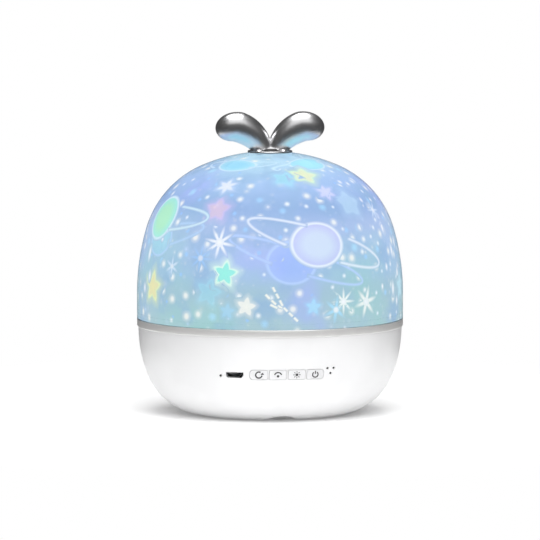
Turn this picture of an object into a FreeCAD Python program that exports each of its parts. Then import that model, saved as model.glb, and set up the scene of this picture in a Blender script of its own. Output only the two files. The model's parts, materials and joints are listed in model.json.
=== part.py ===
import FreeCAD, Part
import math
import os
import re
import Sketcher
from FreeCAD import Placement, Rotation, Vector

# Star night light projector: a white bowl base, a silver trim ring, a lift-off
# dome with a two-leaf handle, and a printed film dome that turns inside it.
# Millimetres, +Z up. The origin is on the resting plane, on the turning axis.
# The keys face -Y and the two leaves of the handle lie along X.

sizes = {
    # white base shell
    "base_radius": "=dome_radius - base_step",
    "base_step": 0.6,
    "base_top": 41.2,
    "base_bottom": 0.5,
    "base_side_radius": 64.0,
    "base_side_sweep": 21.2,
    "base_belly_radius": "=(base_top + base_dip - base_side_radius * sin(base_side_sweep))"
                         " / (1 - sin(base_side_sweep))",
    "base_dip": 0.14,
    "base_wall": 2.2,
    "ledge_radius": "=cover_radius - ledge_overlap",
    "ledge_overlap": 6.5,
    "ledge_thickness": 2.1,
    "notch_width": 15.0,
    "notch_height": 2.4,
    "notch_start": "=cover_radius + notch_gap",
    "notch_gap": 1.0,
    "notch_roof": 2.2,
    # bottom cover, feet and their screws
    "cover_radius": "=base_radius - cover_inset",
    "cover_inset": 29.4,
    "cover_thickness": 1.6,
    "cover_clearance": 0.2,
    "cover_screw_circle": "=cover_radius - cover_screw_inset",
    "cover_screw_inset": 3.2,
    "cover_screw_shank": 1.2,
    "cover_screw_head": 2.4,
    "cover_screw_length": 7.0,
    "cover_boss_radius": 2.8,
    "cover_boss_height": 5.0,
    "foot_radius": 4.0,
    "foot_circle": "=cover_radius - foot_inset",
    "foot_inset": 5.5,
    "foot_recess": 0.7,
    "foot_clearance": 0.1,
    # trim ring
    "ring_radius": "=dome_radius",
    "ring_height": 3.5,
    "ring_chamfer": 0.35,
    "ring_lip_depth": 2.3,
    "ring_lip_wall": 1.0,
    "ring_floor": 0.8,
    "ring_clearance": 0.1,
    # deck that carries the motor, the turntable and the lamp
    "deck_height": "=base_top - deck_drop",
    "deck_drop": 5.2,
    "deck_thickness": 2.0,
    "deck_clearance": 0.4,
    "deck_screw_circle": "=base_radius - deck_screw_inset",
    "deck_screw_inset": 11.9,
    "deck_screw_shank": 1.3,
    "deck_screw_head": 2.4,
    "deck_screw_length": 8.0,
    "deck_boss_radius": 3.2,
    "hub_radius": 15.0,
    "hub_bore": 11.0,
    "hub_height": 5.6,
    "hub_land_width": 2.5,
    "hub_land_height": 0.4,
    "running_clearance": 0.06,
    "axial_clearance": 0.1,
    # turntable and gears
    "gear_module": 0.8,
    "table_teeth": 50,
    "pinion_teeth": 12,
    "gear_height": 3.3,
    "gear_addendum": 0.75,
    "gear_dedendum": 1.15,
    "gear_thinning": 0.12,
    "table_thickness": 1.5,
    "table_clearance": 0.4,
    "film_seat_height": 4.0,
    "film_seat_width": 1.2,
    "pinion_floor_gap": 0.7,
    "pinion_top_gap": 0.2,
    # geared motor
    "motor_radius": 12.0,
    "motor_length": 18.0,
    "motor_shaft_offset": 8.0,
    "motor_boss_radius": 4.5,
    "motor_boss_clearance": 0.15,
    "motor_boss_height": 1.6,
    "motor_shaft_radius": 2.5,
    "motor_shaft_depth": 7.0,
    "motor_ear_pitch": 31.0,
    "motor_ear_radius": 3.4,
    "motor_ear_thickness": 1.0,
    "motor_screw_shank": 1.3,
    "motor_screw_head": 2.3,
    # outer dome: a straight skirt and three tangent arcs
    "dome_radius": 62.5,
    "dome_skirt": 12.0,
    "dome_side_radius": 107.9,
    "dome_side_sweep": 16.3,
    "dome_shoulder_radius": 46.2,
    "dome_shoulder_sweep": 50.5,
    "dome_wall": 1.8,
    "dome_rim": 1.5,
    "spigot_wall": 1.2,
    "spigot_length": 2.6,
    "spigot_clearance": 0.15,
    # film dome
    "film_gap": 4.5,
    "film_wall": 0.8,
    "film_clearance": 0.1,
    # two-leaf handle
    "handle_disc_radius": 10.5,
    "handle_disc_height": 1.2,
    "handle_disc_round": 0.45,
    "leaf_arc_radius": 19.6,
    "leaf_arc_x": 21.1,
    "leaf_arc_drop": 6.3,
    "leaf_root_angle": 156.0,
    "leaf_sweep": 81.0,
    "leaf_root_width": 9.2,
    "leaf_width": 14.3,
    "leaf_fullness": 0.8,
    "leaf_droop": 2.1,
    "leaf_widest": 0.6,
    "bead_length": 12.0,
    "bead_width": 6.3,
    "bead_height": 2.3,
    "bead_spread": 5.8,
    "handle_screw_spread": 4.6,
    "handle_screw_shank": 1.0,
    "handle_screw_head": 1.9,
    "handle_screw_head_height": 1.1,
    "handle_screw_grip": 3.2,
    "handle_hole_spare": 0.3,
    "axis_length": 5.0,
    "screw_head_height": 1.4,
    "screw_clearance": 0.1,
    # lamp inside the film
    "post_flange_radius": 18.0,
    "post_flange_thickness": 1.5,
    "post_stem_radius": 9.5,
    "post_bore": 6.0,
    "post_height": 6.0,
    "post_tray_radius": 14.2,
    "post_tray_thickness": 2.5,
    "post_rim_height": 2.5,
    "post_rim_wall": 1.3,
    "post_screw_circle": 13.0,
    "post_screw_shank": 1.0,
    "post_screw_head": 1.8,
    "post_screw_length": 5.0,
    "led_board_thickness": 1.6,
    "led_board_clearance": 0.3,
    "led_side": 5.0,
    "led_height": 1.6,
    "led_circle": 7.2,
    "led_count": 6,
    "lens_wall": 1.4,
    # keys
    "key_pitch": 8.8,
    "key_width": 8.0,
    "key_height": 4.5,
    "key_middle": 23.8,
    "key_round": 0.35,
    "key_end_round": 1.5,
    "key_proud": 0.3,
    "key_clearance": 0.15,
    "key_frame_face": "=base_radius - key_frame_inset",
    "key_frame_inset": 9.5,
    "key_flange_thickness": 1.0,
    "key_flange_overlap": 1.2,
    "key_stem_width": 3.0,
    "key_stem_height": 2.0,
    "key_travel": 0.5,
    "key_frame_margin": 1.2,
    # openings beside the keys
    "port_x": -23.9,
    "port_width": 7.4,
    "port_height": 2.4,
    "port_taper": 0.9,
    "port_shell": 0.3,
    "port_length": 5.0,
    "port_setback": 0.4,
    "port_clearance": 0.15,
    "port_face": "=base_radius - port_inset",
    "port_inset": 11.0,
    "port_lift": 0.1,
    "tongue_width": 3.8,
    "tongue_thickness": 0.6,
    "tongue_lift": 1.5,
    "tongue_setback": 0.6,
    "light_x": -30.0,
    "light_radius": 0.55,
    "light_length": 4.5,
    "light_lift": 0.3,
    "light_hole_gap": 0.05,
    "light_setback": 2.2,
    "mic_hole_radius": 0.55,
    "mic_hole_spread": 3.0,
    "mic_hole_drop": 2.4,
    "mic_x": 20.6,
    "mic_height": 26.4,
    "mic_radius": 3.0,
    "mic_length": 2.8,
    "mic_boot_wall": 1.0,
    "mic_boot_length": 3.6,
    "mic_boot_lip": 0.8,
    # main board
    "board_bottom": 20.6,
    "board_thickness": 1.6,
    "board_front": "=base_radius - board_inset",
    "board_inset": 14.9,
    "board_back": "=board_front - board_depth",
    "board_depth": 16.0,
    "board_half_width": 31.5,
    "board_front_half": 26.6,
    "board_corner_back": "=board_front - board_corner_depth",
    "board_corner_depth": 3.6,
    "board_boss_x": 24.0,
    "board_boss_y": "=board_front - board_boss_inset",
    "board_boss_inset": 9.0,
    "board_boss_radius": 2.8,
    "board_screw_shank": 1.1,
    "board_screw_head": 2.0,
    "board_screw_length": 6.0,
    "switch_width": 6.0,
    "switch_depth": 3.5,
    "switch_height": 3.5,
    "switch_setback": 0.2,
    "plunger_width": 2.4,
    "plunger_height": 1.4,
    "plunger_reach": 1.3,
    "plunger_length": 3.0,
    "plunger_clearance": 0.1,
    "chip_length": 8.0,
    "chip_width": 6.0,
    "chip_height": 1.6,
    "chip_pitch": 10.0,
    "chip_x": -7.0,
    "chip_y": "=board_front - chip_inset",
    "chip_inset": 7.0,
    "connector_length": 6.0,
    "connector_width": 4.0,
    "connector_height": 3.6,
    "connector_pitch": 12.0,
    # battery
    "battery_radius": 9.2,
    "battery_length": 65.0,
    "battery_y": 11.5,
    "battery_z": 19.8,
    "battery_tip_radius": 3.0,
    "battery_tip_height": 1.0,
    "saddle_spread": 14.0,
    "saddle_thickness": 1.6,
    "saddle_width": 15.0,
    "saddle_clearance": 0.1,
    # wires
    "wire_radius": 0.6,
    "wire_gap": 1.6,
    "wire_bend": 0.45,
    "battery_lead_out": 4.0,
    "battery_lead_drop": 22.0,
    "battery_lead_rise": 1.0,
    "battery_lead_end": 8.0,
    "lamp_lead_x": 3.0,
    "lamp_lead_drop": 8.0,
    "lamp_lead_side": 8.0,
    "lamp_lead_back": 4.0,
    "lamp_lead_rise": 3.0,
    "lamp_lead_end": 5.0,
}

doc = FreeCAD.newDocument("star_night_light")
sheet = doc.addObject("Spreadsheet::Sheet", "Sizes")
for row, alias in enumerate(sizes, 1):
    sheet.set("A%d" % row, alias)
    sheet.setAlias("B%d" % row, alias)
for row, number in enumerate(sizes.values(), 1):
    sheet.set("B%d" % row, str(number))
doc.recompute()

names = re.compile(r"[a-z]\w*")
parts = []


def bound(text):
    """Write a size expression with each alias read from the sheet."""
    def named(word):
        return "Sizes." + word.group() if word.group() in sizes else word.group()
    return names.sub(named, str(text))


def value(text):
    """Work out a size expression as a number."""
    answer = sheet.evalExpression(bound(text))
    return float(getattr(answer, "Value", answer))


def keep(item, label):
    """Name a finished sub-part, which also names its file."""
    item.Label = label
    parts.append(item)
    return item


def bind(item, **settings):
    """Tie properties of an object to size expressions."""
    for name, text in settings.items():
        item.setExpression(name, bound(text))
    return item


# Sketches

def new_body(label):
    body = doc.addObject("PartDesign::Body", label)
    body.AllowCompound = True
    return keep(body, label)


def origin_feature(body, role):
    return [item for item in body.Origin.OriginFeatures if item.Role == role][0]


def new_sketch(body, role="XZ_Plane", turn=0, shift="0"):
    """Open a sketch on one of the body's own planes, turned about its upright, shifted along its normal."""
    sketch = body.newObject("Sketcher::SketchObject", body.Label + "_sketch")
    sketch.AttachmentSupport = [(origin_feature(body, role), "")]
    sketch.MapMode = "FlatFace"
    sketch.AttachmentOffset = Placement(Vector(), Rotation(Vector(0, 1, 0), turn))
    sketch.setExpression("AttachmentOffset.Base.z", bound(shift))
    return sketch


def fix(sketch, kind, geometry, end, text):
    """Hold one coordinate of a point at a size expression."""
    number = value(text)
    if abs(number) < 1e-9:
        upright = -2 if kind == "DistanceX" else -1
        sketch.addConstraint(Sketcher.Constraint("PointOnObject", geometry, end, upright))
        return
    index = sketch.addConstraint(Sketcher.Constraint(kind, -1, 1, geometry, end, number))
    sketch.setExpression("Constraints[%d]" % index, bound(text))


def draw(sketch, corners):
    """Draw a closed outline. A corner is (x, y) or (x, y, radius) with an arc to the next corner:
    a positive radius bulges to the right of the way walked, a negative one to the left."""
    points = [Vector(value(corner[0]), value(corner[1]), 0) for corner in corners]
    ends = []
    for index, corner in enumerate(corners):
        here, there = points[index], points[(index + 1) % len(points)]
        if len(corner) == 2:
            line = sketch.addGeometry(Part.LineSegment(here, there), False)
            ends.append((line, 1, 2))
            continue
        flip = str(corner[2]).startswith("-")
        text = str(corner[2]).lstrip("-")
        radius = value(text)
        middle, way = (here + there) / 2, there - here
        left = Vector(-way.y, way.x, 0).normalize()
        rise = math.sqrt(max(radius ** 2 - way.Length ** 2 / 4, 0))
        centre = middle + left * rise * (-1 if flip else 1)
        first, last = (there, here) if flip else (here, there)
        start = math.atan2(first.y - centre.y, first.x - centre.x)
        stop = math.atan2(last.y - centre.y, last.x - centre.x)
        circle = Part.Circle(centre, Vector(0, 0, 1), radius)
        arc = sketch.addGeometry(Part.ArcOfCircle(circle, start, stop), False)
        rule = sketch.addConstraint(Sketcher.Constraint("Radius", arc, radius))
        sketch.setExpression("Constraints[%d]" % rule, bound(text))
        ends.append((arc, 2, 1) if flip else (arc, 1, 2))
    for index, corner in enumerate(corners):
        geometry, start, stop = ends[index]
        follower, follow_start, follow_stop = ends[(index + 1) % len(ends)]
        sketch.addConstraint(Sketcher.Constraint("Coincident", geometry, stop, follower, follow_start))
        fix(sketch, "DistanceX", geometry, start, corner[0])
        fix(sketch, "DistanceY", geometry, start, corner[1])


def draw_circle(sketch, x, y, radius):
    circle = Part.Circle(Vector(value(x), value(y), 0), Vector(0, 0, 1), value(radius))
    geometry = sketch.addGeometry(circle, False)
    index = sketch.addConstraint(Sketcher.Constraint("Radius", geometry, value(radius)))
    sketch.setExpression("Constraints[%d]" % index, bound(radius))
    fix(sketch, "DistanceX", geometry, 3, x)
    fix(sketch, "DistanceY", geometry, 3, y)


def draw_box(sketch, left, right, low, high):
    draw(sketch, [(left, low), (right, low), (right, high), (left, high)])


def draw_round_box(sketch, left, right, low, high, left_round, right_round):
    """A rectangle whose left and right corners have their own radii."""
    draw(sketch, [
        (f"{left} + {left_round}", low),
        (f"{right} - {right_round}", low, right_round),
        (right, f"{low} + {right_round}"),
        (right, f"{high} - {right_round}", right_round),
        (f"{right} - {right_round}", high),
        (f"{left} + {left_round}", high, left_round),
        (left, f"{high} - {left_round}"),
        (left, f"{low} + {left_round}", left_round),
    ])


# Features

def feature(body, kind, sketch, **settings):
    item = body.newObject("PartDesign::" + kind, body.Label + "_" + kind.lower())
    item.Profile = sketch
    for name, setting in settings.items():
        setattr(item, name, setting)
    sketch.Visibility = False
    body.Tip = item
    return item


def spin(body, corners, kind="Revolution", turn=0, axis=None):
    """Turn an outline about the sketch's upright, or about another upright at x = axis."""
    sketch = new_sketch(body, "XZ_Plane", turn)
    draw(sketch, corners)
    reference = (sketch, ["V_Axis"])
    if axis is not None:
        foot = Vector(value(axis), value(corners[0][1]), 0)
        line = sketch.addGeometry(Part.LineSegment(foot, foot + Vector(0, value("axis_length"), 0)))
        sketch.toggleConstruction(line)
        sketch.addConstraint(Sketcher.Constraint("Vertical", line))
        fix(sketch, "DistanceX", line, 1, axis)
        fix(sketch, "DistanceY", line, 1, corners[0][1])
        sketch.addConstraint(Sketcher.Constraint("DistanceY", line, 1, line, 2, value("axis_length")))
        reference = (sketch, ["Axis0"])
    return feature(body, kind, sketch, ReferenceAxis=reference, Angle=360)


def pad(body, role, shift, length, shapes, kind="Pad", reverse=False):
    """Raise or cut an outline from a plane shifted along its normal."""
    sketch = new_sketch(body, role, 0, shift)
    for shape in shapes:
        shape(sketch)
    item = feature(body, kind, sketch, Reversed=reverse)
    item.setExpression("Length", bound(length))
    return item


def circle(x, y, radius):
    return lambda sketch: draw_circle(sketch, x, y, radius)


def box(left, right, low, high):
    return lambda sketch: draw_box(sketch, left, right, low, high)


def outline(corners):
    return lambda sketch: draw(sketch, corners)


def around(body, item, count):
    """Repeat a feature evenly about the turning axis."""
    pattern = body.newObject("PartDesign::PolarPattern", body.Label + "_pattern")
    pattern.Originals = [item]
    pattern.Axis = (origin_feature(body, "Z_Axis"), [""])
    pattern.Angle = 360
    pattern.Occurrences = int(value(count))
    body.Tip = pattern
    return pattern


def screw_corners(centre, seat, shank, head, length, head_height="screw_head_height"):
    """Half section of a pan-head screw that points down, its head standing on the seat."""
    return [
        (centre, f"{seat} - {length}"), (f"{centre} + {shank}", f"{seat} - {length}"),
        (f"{centre} + {shank}", seat), (f"{centre} + {head}", seat),
        (f"{centre} + {head}", f"{seat} + {head_height} / 2"),
        (f"{centre} + {head} * 0.7", f"{seat} + {head_height}"), (centre, f"{seat} + {head_height}"),
    ]


# Shared outlines

side_x = "(base_radius - base_side_radius)"
belly_x = f"({side_x} + (base_side_radius - base_belly_radius) * cos(base_side_sweep))"
belly_z = "(base_top - (base_side_radius - base_belly_radius) * sin(base_side_sweep))"


def base_joint(inset):
    """Where the side arc of the base meets its belly arc, at an inset from the outer face."""
    x = f"{side_x} + (base_side_radius - ({inset})) * cos(base_side_sweep)"
    z = f"base_top - (base_side_radius - ({inset})) * sin(base_side_sweep)"
    return x, z


def base_belly(inset, height):
    """Radius of the belly arc at a height, at an inset from the outer face."""
    return f"{belly_x} + sqrt((base_belly_radius - ({inset})) ^ 2 - ({belly_z} - ({height})) ^ 2)"


dome_base = "(base_top + ring_height)"
skirt_top = f"({dome_base} + dome_skirt)"
side_centre = "(dome_radius - dome_side_radius)"
side_height = f"({skirt_top} + (dome_side_radius - dome_shoulder_radius) * sin(dome_side_sweep))"
shoulder_centre = f"({side_centre} + (dome_side_radius - dome_shoulder_radius) * cos(dome_side_sweep))"
shoulder_angle = "(dome_side_sweep + dome_shoulder_sweep)"
crown_shift = f"({shoulder_centre} / cos({shoulder_angle}))"
crown_radius = f"(dome_shoulder_radius + {crown_shift})"
crown_centre = f"({side_height} - {crown_shift} * sin({shoulder_angle}))"
handle_seat = f"({crown_centre} + sqrt({crown_radius} ^ 2 - handle_disc_radius ^ 2))"


def dome_corners(inset):
    """The dome's curve from the top of its skirt to the foot of its crown arc, at an inset."""
    low = (f"dome_radius - ({inset})", skirt_top, f"(dome_side_radius - ({inset}))")
    shoulder = (
        f"{side_centre} + (dome_side_radius - ({inset})) * cos(dome_side_sweep)",
        f"{skirt_top} + (dome_side_radius - ({inset})) * sin(dome_side_sweep)",
        f"(dome_shoulder_radius - ({inset}))",
    )
    crown = (
        f"({crown_radius} - ({inset})) * cos({shoulder_angle})",
        f"{crown_centre} + ({crown_radius} - ({inset})) * sin({shoulder_angle})",
        f"({crown_radius} - ({inset}))",
    )
    return [low, shoulder, crown]


def walked_back(corners, end):
    """The same arcs walked from their end to their start."""
    places = [corner[:2] for corner in corners] + [end]
    radii = [corner[2] for corner in corners]
    backwards = reversed(range(len(corners)))
    return [places[index + 1] + ("-" + radii[index],) for index in backwards] + [places[0]]


cover_top = "(base_bottom + cover_thickness)"
ledge_bottom = f"({cover_top} + cover_clearance / 2)"
ledge_top = f"({ledge_bottom} + ledge_thickness)"
deck_top = "(deck_height + deck_thickness)"
gear_bottom = f"({deck_top} + hub_land_height + axial_clearance)"
table_bottom = f"({gear_bottom} + gear_height)"
table_top = f"({table_bottom} + table_thickness)"
hub_top = f"({deck_top} + hub_height)"
gear_distance = "(gear_module * (table_teeth + pinion_teeth) / 2)"
board_top = "(board_bottom + board_thickness)"
light_height = f"({board_top} + light_radius + light_lift)"
key_low = "(key_middle - key_height / 2)"
key_high = "(key_middle + key_height / 2)"
flange_front = "(key_frame_face - key_clearance)"
flange_back = f"({flange_front} - key_flange_thickness)"
switch_front = "(board_front - switch_setback)"
plunger_front = f"({switch_front} + plunger_reach)"
key_names = ["rotate", "mode", "brightness", "power"]
key_places = [f"(key_pitch * ({index} - 1.5))" for index in range(len(key_names))]


def key_rounds(index, extra="0"):
    """Corner radii on the left and right of a key: the row's outer ends are rounder."""
    left = "key_end_round" if index == 0 else "key_round"
    right = "key_end_round" if index == len(key_names) - 1 else "key_round"
    return f"({left} + {extra})", f"({right} + {extra})"


def outside_of_base(body, proud="0"):
    """Trim away what stands outside the base's outer face."""
    inset = f"(-1 * ({proud}))"
    spin(body, [
        (base_belly(inset, "base_bottom"), "base_bottom", f"(base_belly_radius - {inset})"),
        base_joint(inset) + (f"(base_side_radius - {inset})",),
        (f"base_radius - {inset}", "base_top"),
        ("base_radius + 20", "base_top"),
        ("base_radius + 20", "-5"),
        (base_belly(inset, "base_bottom"), "-5"),
    ], "Groove")


# White base

def base_shell():
    body = new_body("base_shell")
    inner_floor = base_belly("base_wall", ledge_top)
    spin(body, [
        ("cover_radius + cover_clearance", "base_bottom"),
        (base_belly("0", "base_bottom"), "base_bottom", "base_belly_radius"),
        base_joint("0") + ("base_side_radius",),
        ("base_radius", "base_top"),
        ("base_radius - base_wall", "base_top", "-(base_side_radius - base_wall)"),
        base_joint("base_wall") + ("-(base_belly_radius - base_wall)",),
        (inner_floor, ledge_top),
        ("ledge_radius", ledge_top),
        ("ledge_radius", ledge_bottom),
        ("cover_radius + cover_clearance", ledge_bottom),
    ])
    bosses = pad(body, "XY_Plane", "deck_height", "deck_height - base_bottom", [
        circle("deck_screw_circle * cos(45)", "deck_screw_circle * sin(45)", "deck_boss_radius"),
    ], reverse=True)
    around(body, bosses, "4")
    pad(body, "XY_Plane", "board_bottom", "board_bottom - base_bottom", [
        circle("board_boss_x", "-1 * board_boss_y", "board_boss_radius"),
        circle("-1 * board_boss_x", "-1 * board_boss_y", "board_boss_radius")], reverse=True)
    cover_boss = pad(body, "XY_Plane", ledge_bottom, "ledge_thickness + cover_boss_height", [
        circle("cover_screw_circle * cos(45)", "cover_screw_circle * sin(45)", "cover_boss_radius")])
    around(body, cover_boss, "4")
    reach = "(key_pitch * 1.5 + key_width / 2 + key_frame_margin)"
    frame = box(f"-1 * {reach}", reach, f"{key_low} - key_flange_overlap - key_frame_margin",
                f"{key_high} + key_flange_overlap + key_frame_margin")
    pad(body, "XZ_Plane", "key_frame_face", "base_radius - key_frame_face + 5", [frame])
    roof = "(base_bottom + notch_height + notch_roof)"
    half = "(notch_width / 2 + notch_roof)"
    pad(body, "XZ_Plane", "notch_start", "10", [box(f"-1 * {half}", half, ledge_bottom, roof)])
    outside_of_base(body)
    openings = []
    for index, place in enumerate(key_places):
        half_width = "(key_width / 2 + key_clearance)"
        rounds = key_rounds(index, "key_clearance")
        openings.append(lambda sketch, place=place, rounds=rounds: draw_round_box(
            sketch, f"{place} - {half_width}", f"{place} + {half_width}",
            f"{key_low} - key_clearance", f"{key_high} + key_clearance", *rounds))
    openings.append(outline(port_corners("port_clearance")))
    openings.append(circle("light_x", light_height, "light_radius + light_hole_gap"))
    openings.append(circle("mic_x - mic_hole_spread / 2", "mic_height", "mic_hole_radius"))
    openings.append(circle("mic_x + mic_hole_spread / 2", "mic_height", "mic_hole_radius"))
    openings.append(circle("mic_x", "mic_height - mic_hole_drop", "mic_hole_radius"))
    pad(body, "XZ_Plane", "board_front - 2", "base_radius", openings, "Pocket", reverse=True)
    arch_radius = "((notch_width ^ 2 / 4 + notch_height ^ 2) / (2 * notch_height))"
    arch_centre = f"(base_bottom + notch_height - {arch_radius})"
    pad(body, "XZ_Plane", "notch_start", "base_radius", [circle("0", arch_centre, arch_radius)],
        "Pocket", reverse=True)
    screw_hole = pad(body, "XY_Plane", "deck_height", "deck_screw_length + 1", [
        circle("deck_screw_circle * cos(45)", "deck_screw_circle * sin(45)", "deck_screw_shank")], "Pocket")
    around(body, screw_hole, "4")
    pad(body, "XY_Plane", "board_bottom", "board_screw_length + 1", [
        circle("board_boss_x", "-1 * board_boss_y", "board_screw_shank"),
        circle("-1 * board_boss_x", "-1 * board_boss_y", "board_screw_shank")], "Pocket")
    cover_hole = pad(body, "XY_Plane", ledge_bottom, "cover_screw_length - cover_thickness + 0.5", [
        circle("cover_screw_circle * cos(45)", "cover_screw_circle * sin(45)", "cover_screw_shank")],
        "Pocket", reverse=True)
    around(body, cover_hole, "4")


def port_corners(extra):
    """A port outline, wide at the top, with its lower corners cut off."""
    half = f"(port_width / 2 + {extra})"
    low = f"({board_top} + port_lift - {extra})"
    high = f"({board_top} + port_lift + port_height + {extra})"
    return [
        (f"port_x - {half} + port_taper", low), (f"port_x + {half} - port_taper", low),
        (f"port_x + {half}", f"{low} + port_taper"), (f"port_x + {half}", high),
        (f"port_x - {half}", high), (f"port_x - {half}", f"{low} + port_taper"),
    ]


def bottom_cover():
    body = new_body("bottom_cover")
    pad(body, "XY_Plane", "base_bottom", "cover_thickness", [circle("0", "0", "cover_radius")])
    saddle_low, saddle_high = "(battery_y - saddle_width / 2)", "(battery_y + saddle_width / 2)"
    for side in ("", "-1 * "):
        middle = f"({side}saddle_spread)"
        pad(body, "XY_Plane", cover_top, f"battery_z - battery_radius / 2 - {cover_top}", [
            box(f"{middle} - saddle_thickness / 2", f"{middle} + saddle_thickness / 2",
                saddle_low, saddle_high)])
    trough = new_sketch(body, "YZ_Plane", 0, "-1 * (saddle_spread + saddle_thickness)")
    draw_circle(trough, "battery_y", "battery_z", "battery_radius + saddle_clearance")
    cut = feature(body, "Pocket", trough, Reversed=True)
    cut.setExpression("Length", bound("2 * (saddle_spread + saddle_thickness)"))
    recess = pad(body, "XY_Plane", "base_bottom", "foot_recess", [
        circle("foot_circle", "0", "foot_radius + foot_clearance")], "Pocket", reverse=True)
    around(body, recess, "4")
    sink = spin(body, [
        ("cover_screw_circle", "base_bottom"),
        ("cover_screw_circle + cover_screw_head", "base_bottom"),
        ("cover_screw_circle + cover_screw_shank + screw_clearance",
         "base_bottom + cover_screw_head - cover_screw_shank"),
        ("cover_screw_circle + cover_screw_shank + screw_clearance", cover_top),
        ("cover_screw_circle", cover_top),
    ], "Groove", 45, "cover_screw_circle")
    around(body, sink, "4")


def cover_screws():
    body = new_body("cover_screws")
    screw = spin(body, [
        ("cover_screw_circle", "base_bottom"),
        ("cover_screw_circle + cover_screw_head - screw_clearance", "base_bottom"),
        ("cover_screw_circle + cover_screw_shank",
         "base_bottom + cover_screw_head - cover_screw_shank - screw_clearance"),
        ("cover_screw_circle + cover_screw_shank", "base_bottom + cover_screw_length"),
        ("cover_screw_circle", "base_bottom + cover_screw_length"),
    ], "Revolution", 45, "cover_screw_circle")
    around(body, screw, "4")


def rubber_feet():
    body = new_body("rubber_feet")
    foot = pad(body, "XY_Plane", "0", "base_bottom + foot_recess", [
        circle("foot_circle", "0", "foot_radius")])
    around(body, foot, "4")


def trim_ring():
    body = new_body("trim_ring")
    lip_outer = "(base_radius - base_wall - ring_clearance)"
    lip_inner = f"({lip_outer} - ring_lip_wall)"
    bore = "(dome_radius - dome_wall - spigot_clearance * 2)"
    spin(body, [
        (lip_inner, "base_top - ring_lip_depth"),
        (lip_outer, "base_top - ring_lip_depth"),
        (lip_outer, "base_top"),
        ("ring_radius - ring_chamfer", "base_top"),
        ("ring_radius", "base_top + ring_chamfer"),
        ("ring_radius", f"{dome_base} - ring_chamfer"),
        ("ring_radius - ring_chamfer", dome_base),
        (bore, dome_base),
        (bore, "base_top + ring_floor"),
        (lip_inner, "base_top + ring_floor"),
    ])


# Deck, turntable and drive

def deck_plate():
    body = new_body("deck_plate")
    land = "(hub_radius + hub_land_width)"
    spin(body, [
        ("hub_bore", "deck_height"),
        ("base_radius - base_wall - deck_clearance", "deck_height"),
        ("base_radius - base_wall - deck_clearance", deck_top),
        (land, deck_top),
        (land, f"{deck_top} + hub_land_height"),
        ("hub_radius", f"{deck_top} + hub_land_height"),
        ("hub_radius", hub_top),
        ("hub_bore", hub_top),
    ])
    pad(body, "XY_Plane", "deck_height", "deck_thickness", [
        circle("0", f"-1 * {gear_distance}", "motor_boss_radius + motor_boss_clearance"),
        circle("motor_ear_pitch / 2", f"motor_shaft_offset - {gear_distance}", "motor_screw_shank"),
        circle("-1 * motor_ear_pitch / 2", f"motor_shaft_offset - {gear_distance}", "motor_screw_shank"),
    ], "Pocket", reverse=True)
    hole = pad(body, "XY_Plane", "deck_height", "deck_thickness", [
        circle("deck_screw_circle * cos(45)", "deck_screw_circle * sin(45)", "deck_screw_shank + 0.1")],
        "Pocket", reverse=True)
    around(body, hole, "4")
    socket = pad(body, "XY_Plane", hub_top, "post_screw_length", [
        circle("post_screw_circle", "0", "post_screw_shank")], "Pocket")
    around(body, socket, "3")


def deck_screws():
    body = new_body("deck_screws")
    screw = spin(body, screw_corners("deck_screw_circle", deck_top, "deck_screw_shank",
                                     "deck_screw_head", "(deck_thickness + deck_screw_length)"),
                 "Revolution", 45, "deck_screw_circle")
    around(body, screw, "4")


def gear_face(teeth):
    """A spur gear's outline: each tooth has two involute flanks drawn as arcs."""
    module = value("gear_module")
    count = int(value(teeth))
    pitch = module * count / 2
    base = pitch * math.cos(math.radians(20))
    tip = pitch + module * value("gear_addendum")
    root = pitch - module * value("gear_dedendum")
    involute = lambda radius: math.tan(math.acos(base / radius)) - math.acos(base / radius)
    half_pitch = math.pi / (2 * count) - value("gear_thinning") / (2 * pitch)
    foot = max(base, root)
    half_angle = lambda radius: half_pitch + involute(pitch) - involute(radius)
    at = lambda radius, angle: Vector(radius * math.cos(angle), radius * math.sin(angle), 0)
    middle = (foot + tip) / 2
    edges = []
    for tooth in range(count):
        angle = 2 * math.pi * tooth / count
        following = 2 * math.pi / count + angle
        low_right, low_left = at(foot, angle - half_angle(foot)), at(foot, angle + half_angle(foot))
        root_right, root_left = at(root, angle - half_angle(foot)), at(root, angle + half_angle(foot))
        tip_right, tip_left = at(tip, angle - half_angle(tip)), at(tip, angle + half_angle(tip))
        next_root = at(root, following - half_angle(foot))
        valley = at(root, (angle + following) / 2)
        if foot > root:
            edges.append(Part.LineSegment(root_right, low_right).toShape())
        edges.append(Part.Arc(low_right, at(middle, angle - half_angle(middle)), tip_right).toShape())
        edges.append(Part.Arc(tip_right, at(tip, angle), tip_left).toShape())
        edges.append(Part.Arc(tip_left, at(middle, angle + half_angle(middle)), low_left).toShape())
        if foot > root:
            edges.append(Part.LineSegment(low_left, root_left).toShape())
        edges.append(Part.Arc(root_left, valley, next_root).toShape())
    return Part.Wire(edges)


def gear(name, teeth, bore, bottom, height, turn, y):
    """A gear blank with its bore, set upright on its own axis."""
    blank = Part.Face(gear_face(teeth)).extrude(Vector(0, 0, value(height)))
    item = doc.addObject("Part::Feature", name)
    item.Shape = blank.cut(Part.makeCylinder(value(bore), value(height)))
    item.Placement = Placement(Vector(0, value(y), value(bottom)), Rotation(Vector(0, 0, 1), turn))
    return item


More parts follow.
